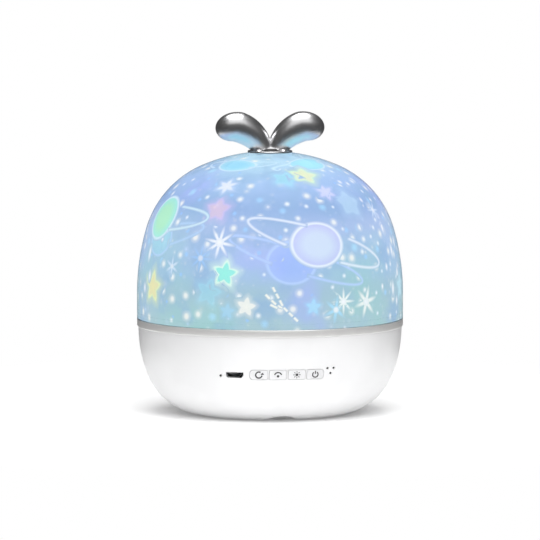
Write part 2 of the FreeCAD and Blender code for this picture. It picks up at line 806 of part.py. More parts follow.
def turntable():
    body = new_body("table_plate")
    parts.remove(body)
    outer = f"(dome_radius - dome_wall - spigot_clearance * 3 - spigot_wall - 2 * table_clearance)"
    seat = "(dome_radius - film_gap - film_wall - film_clearance)"
    bore = "(hub_radius + running_clearance)"
    spin(body, [
        (bore, table_bottom),
        (outer, table_bottom),
        (outer, table_top),
        (seat, table_top),
        (seat, f"{table_top} + film_seat_height"),
        (f"{seat} - film_seat_width", f"{table_top} + film_seat_height"),
        (f"{seat} - film_seat_width", table_top),
        (bore, table_top),
    ])
    # A tooth of the turntable points at the pinion.
    teeth = gear("table_gear", "table_teeth", bore, gear_bottom, "gear_height", -90, "0")
    joined = doc.addObject("Part::Fuse", "turntable")
    joined.Base, joined.Tool = body, teeth
    keep(joined, "turntable")


def motor():
    body = new_body("gear_motor")
    centre = f"(motor_shaft_offset - {gear_distance})"
    pad(body, "XY_Plane", "deck_height", "motor_length", [circle("0", centre, "motor_radius")], reverse=True)
    half = "(motor_ear_pitch / 2)"
    ear = outline([
        (f"-1 * {half}", f"{centre} - motor_ear_radius"),
        (half, f"{centre} - motor_ear_radius", "motor_ear_radius"),
        (half, f"{centre} + motor_ear_radius"),
        (f"-1 * {half}", f"{centre} + motor_ear_radius", "motor_ear_radius"),
    ])
    pad(body, "XY_Plane", "deck_height", "motor_ear_thickness", [ear], reverse=True)
    pad(body, "XY_Plane", "deck_height", "motor_boss_height", [
        circle("0", f"-1 * {gear_distance}", "motor_boss_radius")])
    pad(body, "XY_Plane", "deck_height + motor_boss_height", "motor_shaft_depth", [
        circle("0", f"-1 * {gear_distance}", "motor_shaft_radius + running_clearance")], "Pocket")
    pad(body, "XY_Plane", "deck_height", "motor_ear_thickness", [
        circle(half, centre, "motor_screw_shank + 0.1"),
        circle(f"-1 * {half}", centre, "motor_screw_shank + 0.1")], "Pocket")


def motor_screws():
    body = new_body("motor_screws")
    seat = "(deck_height - motor_ear_thickness)"
    y = f"motor_shaft_offset - {gear_distance}"
    for side in ("", "-1 * "):
        x = f"{side}motor_ear_pitch / 2"
        pad(body, "XY_Plane", seat, "screw_head_height", [circle(x, y, "motor_screw_head")], reverse=True)
        pad(body, "XY_Plane", seat, "motor_ear_thickness + deck_thickness", [
            circle(x, y, "motor_screw_shank")])


def cylinder(label, radius, height, x, y, z):
    """An upright round piece with its foot at x, y, z."""
    item = doc.addObject("Part::Cylinder", label)
    bind(item, Radius=radius, Height=height)
    item.setExpression("Placement.Base.x", bound(x))
    item.setExpression("Placement.Base.y", bound(y))
    item.setExpression("Placement.Base.z", bound(z))
    return keep(item, label)


def drive():
    shaft_foot = "(deck_height + motor_boss_height - motor_shaft_depth + axial_clearance)"
    pinion_top = f"({table_bottom} - pinion_top_gap)"
    cylinder("motor_shaft", "motor_shaft_radius", f"{pinion_top} - {shaft_foot}", "0",
             f"-1 * {gear_distance}", shaft_foot)
    pinion_bottom = f"({deck_top} + pinion_floor_gap)"
    # A space of the pinion takes that tooth on the line of centres.
    facing = 90 + 180 / value("pinion_teeth")
    pinion = gear("drive_pinion", "pinion_teeth", "motor_shaft_radius", pinion_bottom,
                  f"{pinion_top} - {pinion_bottom}", facing, f"-1 * {gear_distance}")
    keep(pinion, "drive_pinion")


# Domes

def film_dome():
    body = new_body("film_dome")
    outer = "film_gap"
    inner = "(film_gap + film_wall)"
    top = lambda inset: ("0", f"{crown_centre} + {crown_radius} - ({inset})")
    spin(body, [(f"dome_radius - {inner}", table_top), (f"dome_radius - {outer}", table_top)]
         + dome_corners(outer) + [top(outer)]
         + walked_back(dome_corners(inner), top(inner)))


def outer_dome():
    body = new_body("outer_dome")
    spigot_outer = "(dome_radius - dome_wall - spigot_clearance * 3)"
    spigot_inner = f"({spigot_outer} - spigot_wall)"
    seat_inside = f"({handle_seat} - dome_wall)"
    pad_radius = "(handle_screw_spread + handle_screw_head + 1.5)"
    inner_top = (pad_radius, f"{crown_centre} + sqrt(({crown_radius} - dome_wall) ^ 2 - {pad_radius} ^ 2)")
    spin(body, [
        (spigot_inner, f"{dome_base} - spigot_length"),
        (spigot_outer, f"{dome_base} - spigot_length"),
        (spigot_outer, dome_base),
        ("dome_radius", dome_base),
    ] + dome_corners("0") + [
        ("handle_disc_radius", handle_seat),
        ("0", handle_seat),
        ("0", seat_inside),
        (pad_radius, seat_inside),
    ] + walked_back(dome_corners("dome_wall"), inner_top) + [
        ("dome_radius - dome_wall", f"{dome_base} + dome_rim"),
        (spigot_inner, f"{dome_base} + dome_rim"),
    ])
    pad(body, "XY_Plane", seat_inside, "dome_wall", [
        circle("handle_screw_spread", "0", "handle_screw_shank + screw_clearance"),
        circle("-1 * handle_screw_spread", "0", "handle_screw_shank + screw_clearance"),
    ], "Pocket", reverse=True)


def handle_screws():
    body = new_body("handle_screws")
    seat = f"({handle_seat} - dome_wall)"
    for side in ("", "-1 * "):
        x = f"{side}handle_screw_spread"
        pad(body, "XY_Plane", seat, "handle_screw_head_height", [
            circle(x, "0", "handle_screw_head")], reverse=True)
        pad(body, "XY_Plane", seat, "dome_wall + handle_screw_grip", [circle(x, "0", "handle_screw_shank")])


def leaf_section(share):
    """An oval across the leaf, at a share of the way from its root to its tip."""
    past = f"max((({share}) - leaf_widest) / (1 - leaf_widest); 0)"
    before = f"min(({share}) / leaf_widest; 1)"
    full = f"(leaf_root_width + (leaf_width - leaf_root_width) * sin(90 * {before}))"
    half = f"{full} / 2 * sqrt(1 - {past} ^ 2)"
    reach = f"(leaf_arc_radius - leaf_droop * {past})"
    angle = f"(leaf_root_angle - leaf_sweep * ({share}))"
    oval = doc.addObject("Part::Ellipse", "leaf_section")
    bind(oval, MajorRadius=half, MinorRadius=f"{half} * leaf_fullness")
    outwards = Vector(value(f"cos({angle})"), 0, value(f"sin({angle})"))
    oval.Placement = Placement(Vector(), Rotation(outwards, Vector(0, 1, 0), Vector(), "XYZ"))
    oval.setExpression("Placement.Base.x", bound(f"leaf_arc_x + {reach} * cos({angle})"))
    oval.setExpression("Placement.Base.z", bound(f"{handle_seat} - leaf_arc_drop + {reach} * sin({angle})"))
    return oval


def leaf():
    """One plump leaf that curls up and outwards from the disc."""
    shares = [0, 0.12, 0.26, 0.42, 0.57, 0.7, 0.81, 0.9, 0.96, 0.992]
    loft = doc.addObject("Part::Loft", "leaf")
    loft.Sections = [leaf_section(share) for share in shares]
    loft.Solid = True
    return loft


def leaf_handle():
    disc = doc.addObject("PartDesign::Body", "handle_disc")
    disc.Label = "handle_disc"
    edge = "(handle_disc_radius - handle_disc_round)"
    spin(disc, [
        ("0", handle_seat),
        (edge, handle_seat, "handle_disc_round"),
        ("handle_disc_radius", f"{handle_seat} + handle_disc_round"),
        ("handle_disc_radius", f"{handle_seat} + handle_disc_height - handle_disc_round",
         "handle_disc_round"),
        (edge, f"{handle_seat} + handle_disc_height"),
        ("0", f"{handle_seat} + handle_disc_height"),
    ])
    right_leaf = leaf()
    left_leaf = doc.addObject("Part::Mirroring", "left_leaf")
    left_leaf.Source, left_leaf.Normal = right_leaf, Vector(1, 0, 0)
    pieces = [disc, right_leaf, left_leaf]
    for side in (1, -1):
        bead = doc.addObject("Part::Ellipsoid", "bead")
        bind(bead, Radius1="bead_height", Radius2="bead_width / 2", Radius3="bead_length / 2")
        bead.setExpression("Placement.Base.x", bound(f"{side} * bead_spread"))
        bead.setExpression("Placement.Base.z", bound(f"{handle_seat} + handle_disc_height / 2"))
        pieces.append(bead)
    joined = doc.addObject("Part::MultiFuse", "handle_blank")
    joined.Shapes = pieces
    holes = []
    for side in (1, -1):
        hole = doc.addObject("Part::Cylinder", "handle_hole")
        bind(hole, Radius="handle_screw_shank", Height="handle_screw_grip + handle_hole_spare + axis_length")
        hole.setExpression("Placement.Base.x", bound(f"{side} * handle_screw_spread"))
        hole.setExpression("Placement.Base.z", bound(f"{handle_seat} - axis_length"))
        holes.append(hole)
    below = doc.addObject("Part::Cylinder", "handle_seat_cut")
    bind(below, Radius="handle_disc_radius * 2", Height="10")
    below.setExpression("Placement.Base.z", bound(f"{handle_seat} - 10"))
    cutter = doc.addObject("Part::MultiFuse", "handle_cutter")
    cutter.Shapes = holes + [below]
    handle = doc.addObject("Part::Cut", "leaf_handle")
    handle.Base, handle.Tool = joined, cutter
    keep(handle, "leaf_handle")


# Lamp

flange_top = f"({hub_top} + post_flange_thickness)"
tray_bottom = f"({flange_top} + post_height)"
tray_top = f"({tray_bottom} + post_tray_thickness)"
rim_top = f"({tray_top} + post_rim_height)"
led_seat = f"({tray_top} + led_board_thickness)"


def lamp_post():
    body = new_body("lamp_post")
    spin(body, [
        ("post_bore", hub_top),
        ("post_flange_radius", hub_top),
        ("post_flange_radius", flange_top),
        ("post_stem_radius", flange_top),
        ("post_stem_radius", tray_bottom),
        ("post_tray_radius", tray_bottom),
        ("post_tray_radius", rim_top),
        ("post_tray_radius - post_rim_wall", rim_top),
        ("post_tray_radius - post_rim_wall", tray_top),
        ("post_bore", tray_top),
    ])
    hole = pad(body, "XY_Plane", hub_top, "post_flange_thickness", [
        circle("post_screw_circle", "0", "post_screw_shank + 0.1")], "Pocket", reverse=True)
    around(body, hole, "3")


def post_screws():
    body = new_body("post_screws")
    screw = spin(body, screw_corners("post_screw_circle", flange_top, "post_screw_shank", "post_screw_head",
                                     "(post_flange_thickness + post_screw_length - 0.5)"),
                 "Revolution", 0, "post_screw_circle")
    around(body, screw, "3")


def led_board():
    body = new_body("led_board")
    pad(body, "XY_Plane", tray_top, "led_board_thickness", [
        circle("0", "0", "post_tray_radius - post_rim_wall - led_board_clearance")])


def led_chips():
    body = new_body("led_chips")
    chip = pad(body, "XY_Plane", led_seat, "led_height", [
        box("led_circle - led_side / 2", "led_circle + led_side / 2", "-1 * led_side / 2", "led_side / 2")])
    around(body, chip, "led_count")


def lamp_lens():
    body = new_body("lamp_lens")
    inner = "(post_tray_radius - lens_wall)"
    spin(body, [
        (inner, rim_top),
        ("post_tray_radius", rim_top, "post_tray_radius"),
        ("0", f"{rim_top} + post_tray_radius"),
        ("0", f"{rim_top} + {inner}", f"-{inner}"),
    ])


# Keys and their switches

def key(index):
    """A key cap whose face follows the base, with a retaining flange and a stem behind it."""
    body = new_body(key_names[index] + "_key")
    place = key_places[index]
    half = "(key_width / 2)"
    rounds = key_rounds(index)
    cap = lambda sketch: draw_round_box(
        sketch, f"{place} - {half}", f"{place} + {half}", key_low, key_high, *rounds)
    pad(body, "XZ_Plane", flange_front, f"base_radius + key_proud - {flange_front} + 2", [cap])
    outside_of_base(body, "key_proud")
    pad(body, "XZ_Plane", flange_back, "key_flange_thickness", [box(
        f"{place} - {half}", f"{place} + {half}", f"{key_low} - key_flange_overlap",
        f"{key_high} + key_flange_overlap")])
    pad(body, "XZ_Plane", plunger_front, f"{flange_back} - {plunger_front}", [box(
        f"{place} - key_stem_width / 2", f"{place} + key_stem_width / 2",
        "key_middle - key_stem_height / 2", "key_middle + key_stem_height / 2")])


def plunger(index):
    body = new_body(key_names[index] + "_plunger")
    place = key_places[index]
    pad(body, "XZ_Plane", f"{plunger_front} - plunger_length", "plunger_length", [box(
        f"{place} - plunger_width / 2", f"{place} + plunger_width / 2",
        "key_middle - plunger_height / 2", "key_middle + plunger_height / 2")])


def key_switches():
    body = new_body("key_switches")
    housings, wells = [], []
    for place in key_places:
        housings.append(box(f"{place} - switch_width / 2", f"{place} + switch_width / 2",
                            board_top, f"{board_top} + switch_height"))
        wells.append(box(f"{place} - plunger_width / 2 - plunger_clearance",
                         f"{place} + plunger_width / 2 + plunger_clearance",
                         "key_middle - plunger_height / 2 - plunger_clearance",
                         "key_middle + plunger_height / 2 + plunger_clearance"))
    pad(body, "XZ_Plane", f"{switch_front} - switch_depth", "switch_depth", housings)
    pad(body, "XZ_Plane", switch_front, "plunger_length - plunger_reach + key_travel + 0.2", wells, "Pocket")


# Boards and what sits on them

def main_board():
    body = new_body("main_board")
    pad(body, "XY_Plane", "board_bottom", "board_thickness", [outline([
        ("-1 * board_front_half", "-1 * board_front"),
        ("board_front_half", "-1 * board_front"),
        ("board_half_width", "-1 * board_corner_back"),
        ("board_half_width", "-1 * board_back"),
        ("-1 * board_half_width", "-1 * board_back"),
        ("-1 * board_half_width", "-1 * board_corner_back"),
    ])])
    pad(body, "XY_Plane", "board_bottom", "board_thickness", [
        circle("board_boss_x", "-1 * board_boss_y", "board_screw_shank + screw_clearance"),
        circle("-1 * board_boss_x", "-1 * board_boss_y", "board_screw_shank + screw_clearance"),
    ], "Pocket", reverse=True)


def board_screws():
    body = new_body("board_screws")
    for side in ("", "-1 * "):
        x, y = f"{side}board_boss_x", "-1 * board_boss_y"
        pad(body, "XY_Plane", board_top, "screw_head_height", [circle(x, y, "board_screw_head")])
        pad(body, "XY_Plane", board_top, "board_thickness + board_screw_length", [
            circle(x, y, "board_screw_shank")], reverse=True)


def row_of_boxes(label, count, x, y, pitch, length, width, height):
    """Equal box-shaped components standing in a row on the main board."""
    body = new_body(label)
    shapes = []
    for index in range(count):
        middle = f"({x} + {pitch} * {index})"
        shapes.append(box(f"{middle} - {length} / 2", f"{middle} + {length} / 2",
                          f"-1 * {y} - {width} / 2", f"-1 * {y} + {width} / 2"))
    pad(body, "XY_Plane", board_top, height, shapes)


def usb_socket():
    body = new_body("usb_socket")
    rear = "(port_face - port_setback - port_length)"
    pad(body, "XZ_Plane", rear, "port_length", [outline(port_corners("0"))])
    pad(body, "XZ_Plane", f"{rear} + port_length", "port_length - port_shell", [
        outline(port_corners("(-1 * port_shell)"))], "Pocket")


def usb_tongue():
    body = new_body("usb_tongue")
    rear = "(port_face - port_setback - port_length + port_shell)"
    middle = f"({board_top} + port_lift + tongue_lift)"
    pad(body, "XZ_Plane", rear, "port_length - port_shell - tongue_setback", [box(
        "port_x - tongue_width / 2", "port_x + tongue_width / 2",
        f"{middle} - tongue_thickness / 2", f"{middle} + tongue_thickness / 2")])


def lying_cylinder(label, radius, length, x, z, front):
    """A round piece that lies along Y, its front end facing -Y."""
    body = new_body(label)
    pad(body, "XZ_Plane", f"{front} - ({length})", length, [circle(x, z, radius)])
    return body


def front_electronics():
    lying_cylinder("charge_light", "light_radius", "light_length", "light_x", light_height,
                   "(port_face - light_setback)")
    mic_centre = f"({board_top} + mic_radius + mic_boot_wall)"
    lying_cylinder("microphone", "mic_radius", "mic_length", "mic_x", mic_centre, "board_front")
    boot = lying_cylinder("microphone_boot", "mic_radius + mic_boot_wall", "mic_boot_length + mic_length",
                          "mic_x", mic_centre, "(board_front + mic_boot_length)")
    pad(boot, "XZ_Plane", "board_front", "mic_length", [circle("mic_x", mic_centre, "mic_radius")], "Pocket")
    pad(boot, "XZ_Plane", "board_front + mic_boot_length", "mic_boot_length", [
        circle("mic_x", mic_centre, "mic_radius - mic_boot_lip")], "Pocket")


def battery():
    body = new_body("battery")
    pad(body, "YZ_Plane", "-1 * battery_length / 2", "battery_length - battery_tip_height", [
        circle("battery_y", "battery_z", "battery_radius")])
    pad(body, "YZ_Plane", "battery_length / 2 - battery_tip_height", "battery_tip_height", [
        circle("battery_y", "battery_z", "battery_tip_radius")])


# Wires inside the base

def wire_path(points, bend):
    """Straight runs joined by tangent arcs, each arc a share of the shorter run beside it."""
    places = [Vector(*point) for point in points]
    edges, start = [], places[0]
    for before, corner, after in zip(places, places[1:], places[2:]):
        arriving, leaving = (corner - before).normalize(), (after - corner).normalize()
        reach = bend * min((corner - before).Length, (after - corner).Length)
        turn = arriving.getAngle(leaving)
        inward = (leaving - arriving).normalize()
        first, last = corner - arriving * reach, corner + leaving * reach
        edges.append(Part.LineSegment(start, first).toShape())
        radius = reach / math.tan(turn / 2)
        middle = corner + inward * (radius / math.cos(turn / 2) - radius)
        edges.append(Part.Arc(first, middle, last).toShape())
        start = last
    edges.append(Part.LineSegment(start, places[-1]).toShape())
    return Part.Wire(edges)


def wires(label, routes):
    """A group of equal round wires, each on its own route."""
    solids = []
    radius = value("wire_radius")
    for route in routes:
        path = wire_path(route, value("wire_bend"))
        way = path.Edges[0].tangentAt(path.Edges[0].FirstParameter)
        ring = Part.Wire(Part.Circle(Vector(*route[0]), way, radius).toShape())
        solids.append(path.makePipeShell([ring], True, False))
    item = doc.addObject("Part::Feature", label)
    item.Shape = Part.makeCompound(solids) if len(solids) > 1 else solids[0]
    return keep(item, label)


def leads():
    """Pairs of wires from the battery, the motor and the lamp to the connectors on the main board."""
    socket_y, socket_z = -value("board_back"), value(f"{board_top} + connector_height / 2")
    pitch, spread = value("connector_pitch"), (-value("wire_gap") / 2, value("wire_gap") / 2)
    end_x, end_z = -value("battery_length / 2"), value("battery_z")
    side_x = end_x - value("battery_lead_out")
    near_y, far_y = socket_y + value("battery_lead_end"), value("battery_y - battery_lead_drop")
    wires("battery_lead", [[
        (end_x, value("battery_y") + offset, end_z), (side_x, value("battery_y") + offset, end_z),
        (side_x, far_y + offset, end_z + value("battery_lead_rise")), (offset - pitch, near_y, socket_z),
        (offset - pitch, socket_y, socket_z)] for offset in spread])
    motor_side = value(f"motor_shaft_offset - {gear_distance} - motor_radius")
    wires("motor_lead", [[(offset, motor_side, socket_z), (offset, socket_y, socket_z)] for offset in spread])
    lamp_x, lamp_low = value("lamp_lead_x"), value("deck_height - lamp_lead_drop")
    turn_y, turn_z = -value("lamp_lead_back"), socket_z + value("lamp_lead_rise")
    wires("lamp_lead", [[
        (lamp_x + offset, 0, value(tray_top)), (lamp_x + offset, 0, lamp_low),
        (pitch + value("lamp_lead_side") + offset, turn_y, turn_z),
        (pitch + offset, socket_y + value("lamp_lead_end"), socket_z),
        (pitch + offset, socket_y, socket_z)] for offset in spread])


base_shell()
bottom_cover()
cover_screws()
rubber_feet()
trim_ring()
deck_plate()
deck_screws()
turntable()
motor()
motor_screws()
drive()
film_dome()
outer_dome()
leaf_handle()
handle_screws()
lamp_post()
post_screws()
led_board()
led_chips()
lamp_lens()
for position in range(len(key_names)):
    key(position)
    plunger(position)
key_switches()
main_board()
board_screws()
row_of_boxes("control_chips", 2, "chip_x", "chip_y", "chip_pitch", "chip_length", "chip_width", "chip_height")
row_of_boxes("wire_connectors", 3, "(-1 * connector_pitch)", "(board_back + connector_width / 2)",
             "connector_pitch", "connector_length", "connector_width", "connector_height")
usb_socket()
usb_tongue()
front_electronics()
battery()
leads()
doc.recompute()

for item in doc.Objects:
    if "Invalid" in item.State or "Error" in item.State:
        raise SystemExit("failed: %s %s" % (item.Label, item.State))
os.makedirs("parts", exist_ok=True)
for item in parts:
    if item.Shape.isNull() or not item.Shape.isValid() or not item.Shape.Solids:
        raise SystemExit("bad shape: " + item.Label)
    item.Shape.exportStep("parts/%s.step" % item.Label)
    extent = item.Shape.BoundBox
    print("%-18s %2d solids %9.1f mm3  z %6.1f to %6.1f" % (
        item.Label, len(item.Shape.Solids), item.Shape.Volume, extent.ZMin, extent.ZMax))
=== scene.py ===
import json
import math

import bmesh
import bpy
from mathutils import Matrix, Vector

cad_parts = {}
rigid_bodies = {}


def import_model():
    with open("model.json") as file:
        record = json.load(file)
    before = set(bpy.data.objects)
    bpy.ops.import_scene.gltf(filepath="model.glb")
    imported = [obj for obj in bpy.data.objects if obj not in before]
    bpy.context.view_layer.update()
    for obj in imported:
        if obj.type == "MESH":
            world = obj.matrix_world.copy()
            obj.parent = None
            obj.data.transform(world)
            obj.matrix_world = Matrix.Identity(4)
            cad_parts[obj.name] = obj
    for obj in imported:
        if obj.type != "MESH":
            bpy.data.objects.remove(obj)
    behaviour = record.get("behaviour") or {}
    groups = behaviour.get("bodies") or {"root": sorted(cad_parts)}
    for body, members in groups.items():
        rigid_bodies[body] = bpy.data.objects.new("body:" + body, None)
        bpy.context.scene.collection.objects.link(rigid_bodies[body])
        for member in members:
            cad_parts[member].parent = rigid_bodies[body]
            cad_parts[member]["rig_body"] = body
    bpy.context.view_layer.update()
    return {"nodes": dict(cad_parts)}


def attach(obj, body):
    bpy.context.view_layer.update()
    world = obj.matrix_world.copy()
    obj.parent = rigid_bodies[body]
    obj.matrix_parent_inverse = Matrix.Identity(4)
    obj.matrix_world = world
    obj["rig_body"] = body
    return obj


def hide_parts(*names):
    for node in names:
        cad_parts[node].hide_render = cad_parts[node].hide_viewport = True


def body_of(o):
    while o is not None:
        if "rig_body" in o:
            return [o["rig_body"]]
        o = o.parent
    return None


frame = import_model()

mm = 0.001

dome = {
    "radius": 62.5, "base": 44.7, "skirt": 12.0, "sideRadius": 107.9, "sideSweep": 16.3,
    "shoulderRadius": 46.2, "shoulderSweep": 50.5, "wall": 1.8, "rim": 2.5,
    "spigotOuter": 60.25, "spigotInner": 59.05, "spigotLength": 2.6, "seat": 122.37, "seatRadius": 10.5,
    "padRadius": 11.6, "segments": 256,
}
film = {"gap": 4.5, "wall": 0.8, "bottom": 43.3}


# Meshes

def newObject(name, vertices, faces, smooth=True):
    mesh = bpy.data.meshes.new(name)
    mesh.from_pydata([tuple(v) for v in vertices], [], faces)
    mesh.validate()
    if smooth:
        mesh.shade_smooth()
    piece = bpy.data.objects.new(name, mesh)
    bpy.context.scene.collection.objects.link(piece)
    return piece


def outward(piece, merge=0.0):
    shape = bmesh.new()
    shape.from_mesh(piece.data)
    if merge:
        bmesh.ops.remove_doubles(shape, verts=shape.verts, dist=merge)
    bmesh.ops.recalc_face_normals(shape, faces=shape.faces)
    shape.to_mesh(piece.data)
    shape.free()


def turnTo(piece, direction):
    # flips the faces of a thin print that look against the direction at their middle
    shape = bmesh.new()
    shape.from_mesh(piece.data)
    for face in shape.faces:
        face.normal_update()
        if face.normal.dot(direction(face.calc_center_median())) < 0:
            face.normal_flip()
    shape.to_mesh(piece.data)
    shape.free()


def quadRows(rows, columns):
    # quads between rows of points that close on themselves
    faces = []
    for row in range(rows):
        for column in range(columns):
            following = (column + 1) % columns
            faces.append((row * columns + column, row * columns + following,
                          (row + 1) * columns + following, (row + 1) * columns + column))
    return faces


def lathe(name, outline, segments, sharp):
    # outline: closed loop of (radius, height) in mm; points on the axis become poles
    vertices, rings = [], []
    for radius, height in outline:
        if radius < 1e-6:
            rings.append([len(vertices)])
            vertices.append((0, 0, height * mm))
            continue
        rings.append(list(range(len(vertices), len(vertices) + segments)))
        for step in range(segments):
            turn = 2 * math.pi * step / segments
            vertices.append((radius * mm * math.cos(turn), radius * mm * math.sin(turn), height * mm))
    faces = []
    for low, high in zip(rings, rings[1:] + rings[:1]):
        for step in range(segments):
            following = (step + 1) % segments
            if len(low) == 1 and len(high) == 1:
                break
            if len(low) == 1:
                faces.append((low[0], high[following], high[step]))
            elif len(high) == 1:
                faces.append((low[step], low[following], high[0]))
            else:
                faces.append((low[step], low[following], high[following], high[step]))
    piece = newObject(name, vertices, faces)
    outward(piece)
    piece.data.set_sharp_from_angle(angle=math.radians(sharp))
    return piece


def mergedCopy(node):
    shape = bmesh.new()
    shape.from_mesh(frame["nodes"][node].data)
    bmesh.ops.remove_doubles(shape, verts=shape.verts, dist=1e-6)
    bmesh.ops.dissolve_degenerate(shape, edges=shape.edges, dist=1e-7)
    bmesh.ops.recalc_face_normals(shape, faces=shape.faces)
    mesh = bpy.data.meshes.new(node + "_look")
    shape.to_mesh(mesh)
    shape.free()
    mesh.shade_smooth()
    mesh.set_sharp_from_angle(angle=math.radians(30))
    piece = bpy.data.objects.new(node + "_look", mesh)
    bpy.context.scene.collection.objects.link(piece)
    weighted = piece.modifiers.new("weighted", "WEIGHTED_NORMAL")
    weighted.keep_sharp = True
    return piece


def finishPiece(piece, material, body, nodes=()):
    piece.data.materials.clear()
    piece.data.materials.append(material)
    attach(piece, body)
    if nodes:
        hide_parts(*nodes)


def arcPoints(centre, radius, start=0, end=360, steps=32):
    points = []
    for step in range(steps + 1):
        angle = math.radians(start + (end - start) * step / steps)
        points.append((centre[0] + radius * math.cos(angle), centre[1] + radius * math.sin(angle)))
    return points


sideCentre = (dome["radius"] - dome["sideRadius"], dome["base"] + dome["skirt"])
sideTurn = math.radians(dome["sideSweep"])
sideReach = dome["sideRadius"] - dome["shoulderRadius"]
shoulderCentre = (
    sideCentre[0] + sideReach * math.cos(sideTurn),
    sideCentre[1] + sideReach * math.sin(sideTurn),
)
crownAngle = dome["sideSweep"] + dome["shoulderSweep"]
crownShift = shoulderCentre[0] / math.cos(math.radians(crownAngle))
crownCentre = (0.0, shoulderCentre[1] - crownShift * math.sin(math.radians(crownAngle)))
crownRadius = dome["shoulderRadius"] + crownShift


def domeCurve(inset, lastRadius=0.0):
    # from the top of the skirt to the axis, or to a radius on the crown
    lastAngle = math.degrees(math.acos(lastRadius / (crownRadius - inset)))
    points = arcPoints(sideCentre, dome["sideRadius"] - inset, 0, dome["sideSweep"], 14)
    points += arcPoints(shoulderCentre, dome["shoulderRadius"] - inset, dome["sideSweep"], crownAngle, 26)[1:]
    points += arcPoints(crownCentre, crownRadius - inset, crownAngle, lastAngle, 18)[1:]
    if lastRadius == 0.0:
        points[-1] = (0.0, points[-1][1])
    return points


# Places on the film, by angle round the axis from the front and by length along its curve

filmCurve = [(dome["radius"] - film["gap"], film["bottom"])] + domeCurve(film["gap"])
filmLengths = [0.0]
for start, end in zip(filmCurve, filmCurve[1:]):
    filmLengths.append(filmLengths[-1] + math.dist(start, end))


def alongFilm(length):
    length = min(max(length, 0.01), filmLengths[-1] - 0.01)
    for index in range(1, len(filmLengths)):
        if length <= filmLengths[index]:
            break
    start, end = filmCurve[index - 1], filmCurve[index]
    share = (length - filmLengths[index - 1]) / (filmLengths[index] - filmLengths[index - 1])
    radius, height = start[0] + share * (end[0] - start[0]), start[1] + share * (end[1] - start[1])
    chord = filmLengths[index] - filmLengths[index - 1]
    return radius, height, ((end[1] - start[1]) / chord, (start[0] - end[0]) / chord)


def filmLength(height):
    for index in range(1, len(filmCurve)):
        if filmCurve[index][1] >= height:
            break
    share = (height - filmCurve[index - 1][1]) / (filmCurve[index][1] - filmCurve[index - 1][1])
    return filmLengths[index - 1] + share * (filmLengths[index] - filmLengths[index - 1])


def onFilm(azimuth, length, across, up, lift):
    middleRadius = alongFilm(length)[0]
    radius, height, normal = alongFilm(length + up)
    spread = max(radius, (middleRadius + radius) / 2)
    turn = math.radians(azimuth) + across / spread
    radius, height = radius + normal[0] * lift, height + normal[1] * lift
    return (radius * mm * math.sin(turn), -radius * mm * math.cos(turn), height * mm)


# Printed motifs: thin meshes that hug the film, with a colour and a glow at each vertex

class Print:
    def __init__(self, name):
        self.name, self.vertices, self.faces, self.colours, self.glows = name, [], [], [], []

    def add(self, place, colour, glow):
        self.vertices.append(place)
        self.colours.append(colour)
        self.glows.append(glow)
        return len(self.vertices) - 1

    def blob(self, azimuth, height, outline, rings, lift, steps):
        # rings: (share of the outline, colour, glow) from the middle outwards
        length = filmLength(height)
        centre = self.add(onFilm(azimuth, length, 0, 0, lift), rings[0][1], rings[0][2])
        last = None
        for share, colour, glow in rings[1:]:
            ring = []
            for step in range(steps):
                across, up = outline(2 * math.pi * step / steps, share)
                ring.append(self.add(onFilm(azimuth, length, across, up, lift), colour, glow))
            for step in range(steps):
                following = (step + 1) % steps
                if last is None:
                    self.faces.append((centre, ring[step], ring[following]))
                else:
                    self.faces.append((last[step], ring[step], ring[following], last[following]))
            last = ring

    def line(self, azimuth, height, points, width, halo, colour, glow, lift):
        # points: (across, up) in mm from the place on the film; both ends fade out
        length = filmLength(height)
        rows = [(-halo, 0.0), (-1.0, 0.75 * glow), (0.0, glow), (1.0, 0.75 * glow), (halo, 0.0)]
        last = len(points) - 1
        strips = []
        for index, (x, y) in enumerate(points):
            before, after = points[max(index - 1, 0)], points[min(index + 1, last)]
            along = Vector((after[0] - before[0], after[1] - before[1])).normalized()
            strip = []
            for offset, level in rows:
                offset *= width / 2
                place = onFilm(azimuth, length, x - along.y * offset, y + along.x * offset, lift)
                strip.append(self.add(place, colour, level if 0 < index < last else 0.0))
            strips.append(strip)
        for first, second in zip(strips, strips[1:]):
            for row in range(len(rows) - 1):
                self.faces.append((first[row], second[row], second[row + 1], first[row + 1]))

    def build(self):
        piece = newObject(self.name, self.vertices, self.faces)
        piece.data.attributes.new("tint", "FLOAT_COLOR", "POINT")
        piece.data.attributes.new("glow", "FLOAT", "POINT")
        tint, glow = piece.data.attributes["tint"], piece.data.attributes["glow"]
        for index, (colour, level) in enumerate(zip(self.colours, self.glows)):
            tint.data[index].color = (*colour, 1.0)
            glow.data[index].value = level
        # outwards, away from the middle of the film
        turnTo(piece, lambda middle: Vector((middle.x, middle.y, 0.3 * (middle.z - 0.06))))
        finishPiece(piece, materials["printed_film"], "film")


def linear(red, green, blue):
    shares = [colour / 255 for colour in (red, green, blue)]
    return tuple(s / 12.92 if s <= 0.04 else ((s + 0.055) / 1.055) ** 2.4 for s in shares)


# Materials

materials = {}


def shader(name, **settings):
    material = bpy.data.materials.new(name)
    material.use_nodes = True
    node = material.node_tree.nodes["Principled BSDF"]
    for label, setting in settings.items():
        node.inputs[label.replace("_", " ")].default_value = setting
    materials[name] = material
    return material, node


def addNode(material, kind, **settings):
    # this and the next ones also take the world in place of a material
    node = material.node_tree.nodes.new(kind)
    for label, setting in settings.items():
        setattr(node, label, setting)
    return node


def wire(material, output, target):
    material.node_tree.links.new(output, target)


def objectPlace(material):
    return addNode(material, "ShaderNodeTexCoord").outputs["Object"]


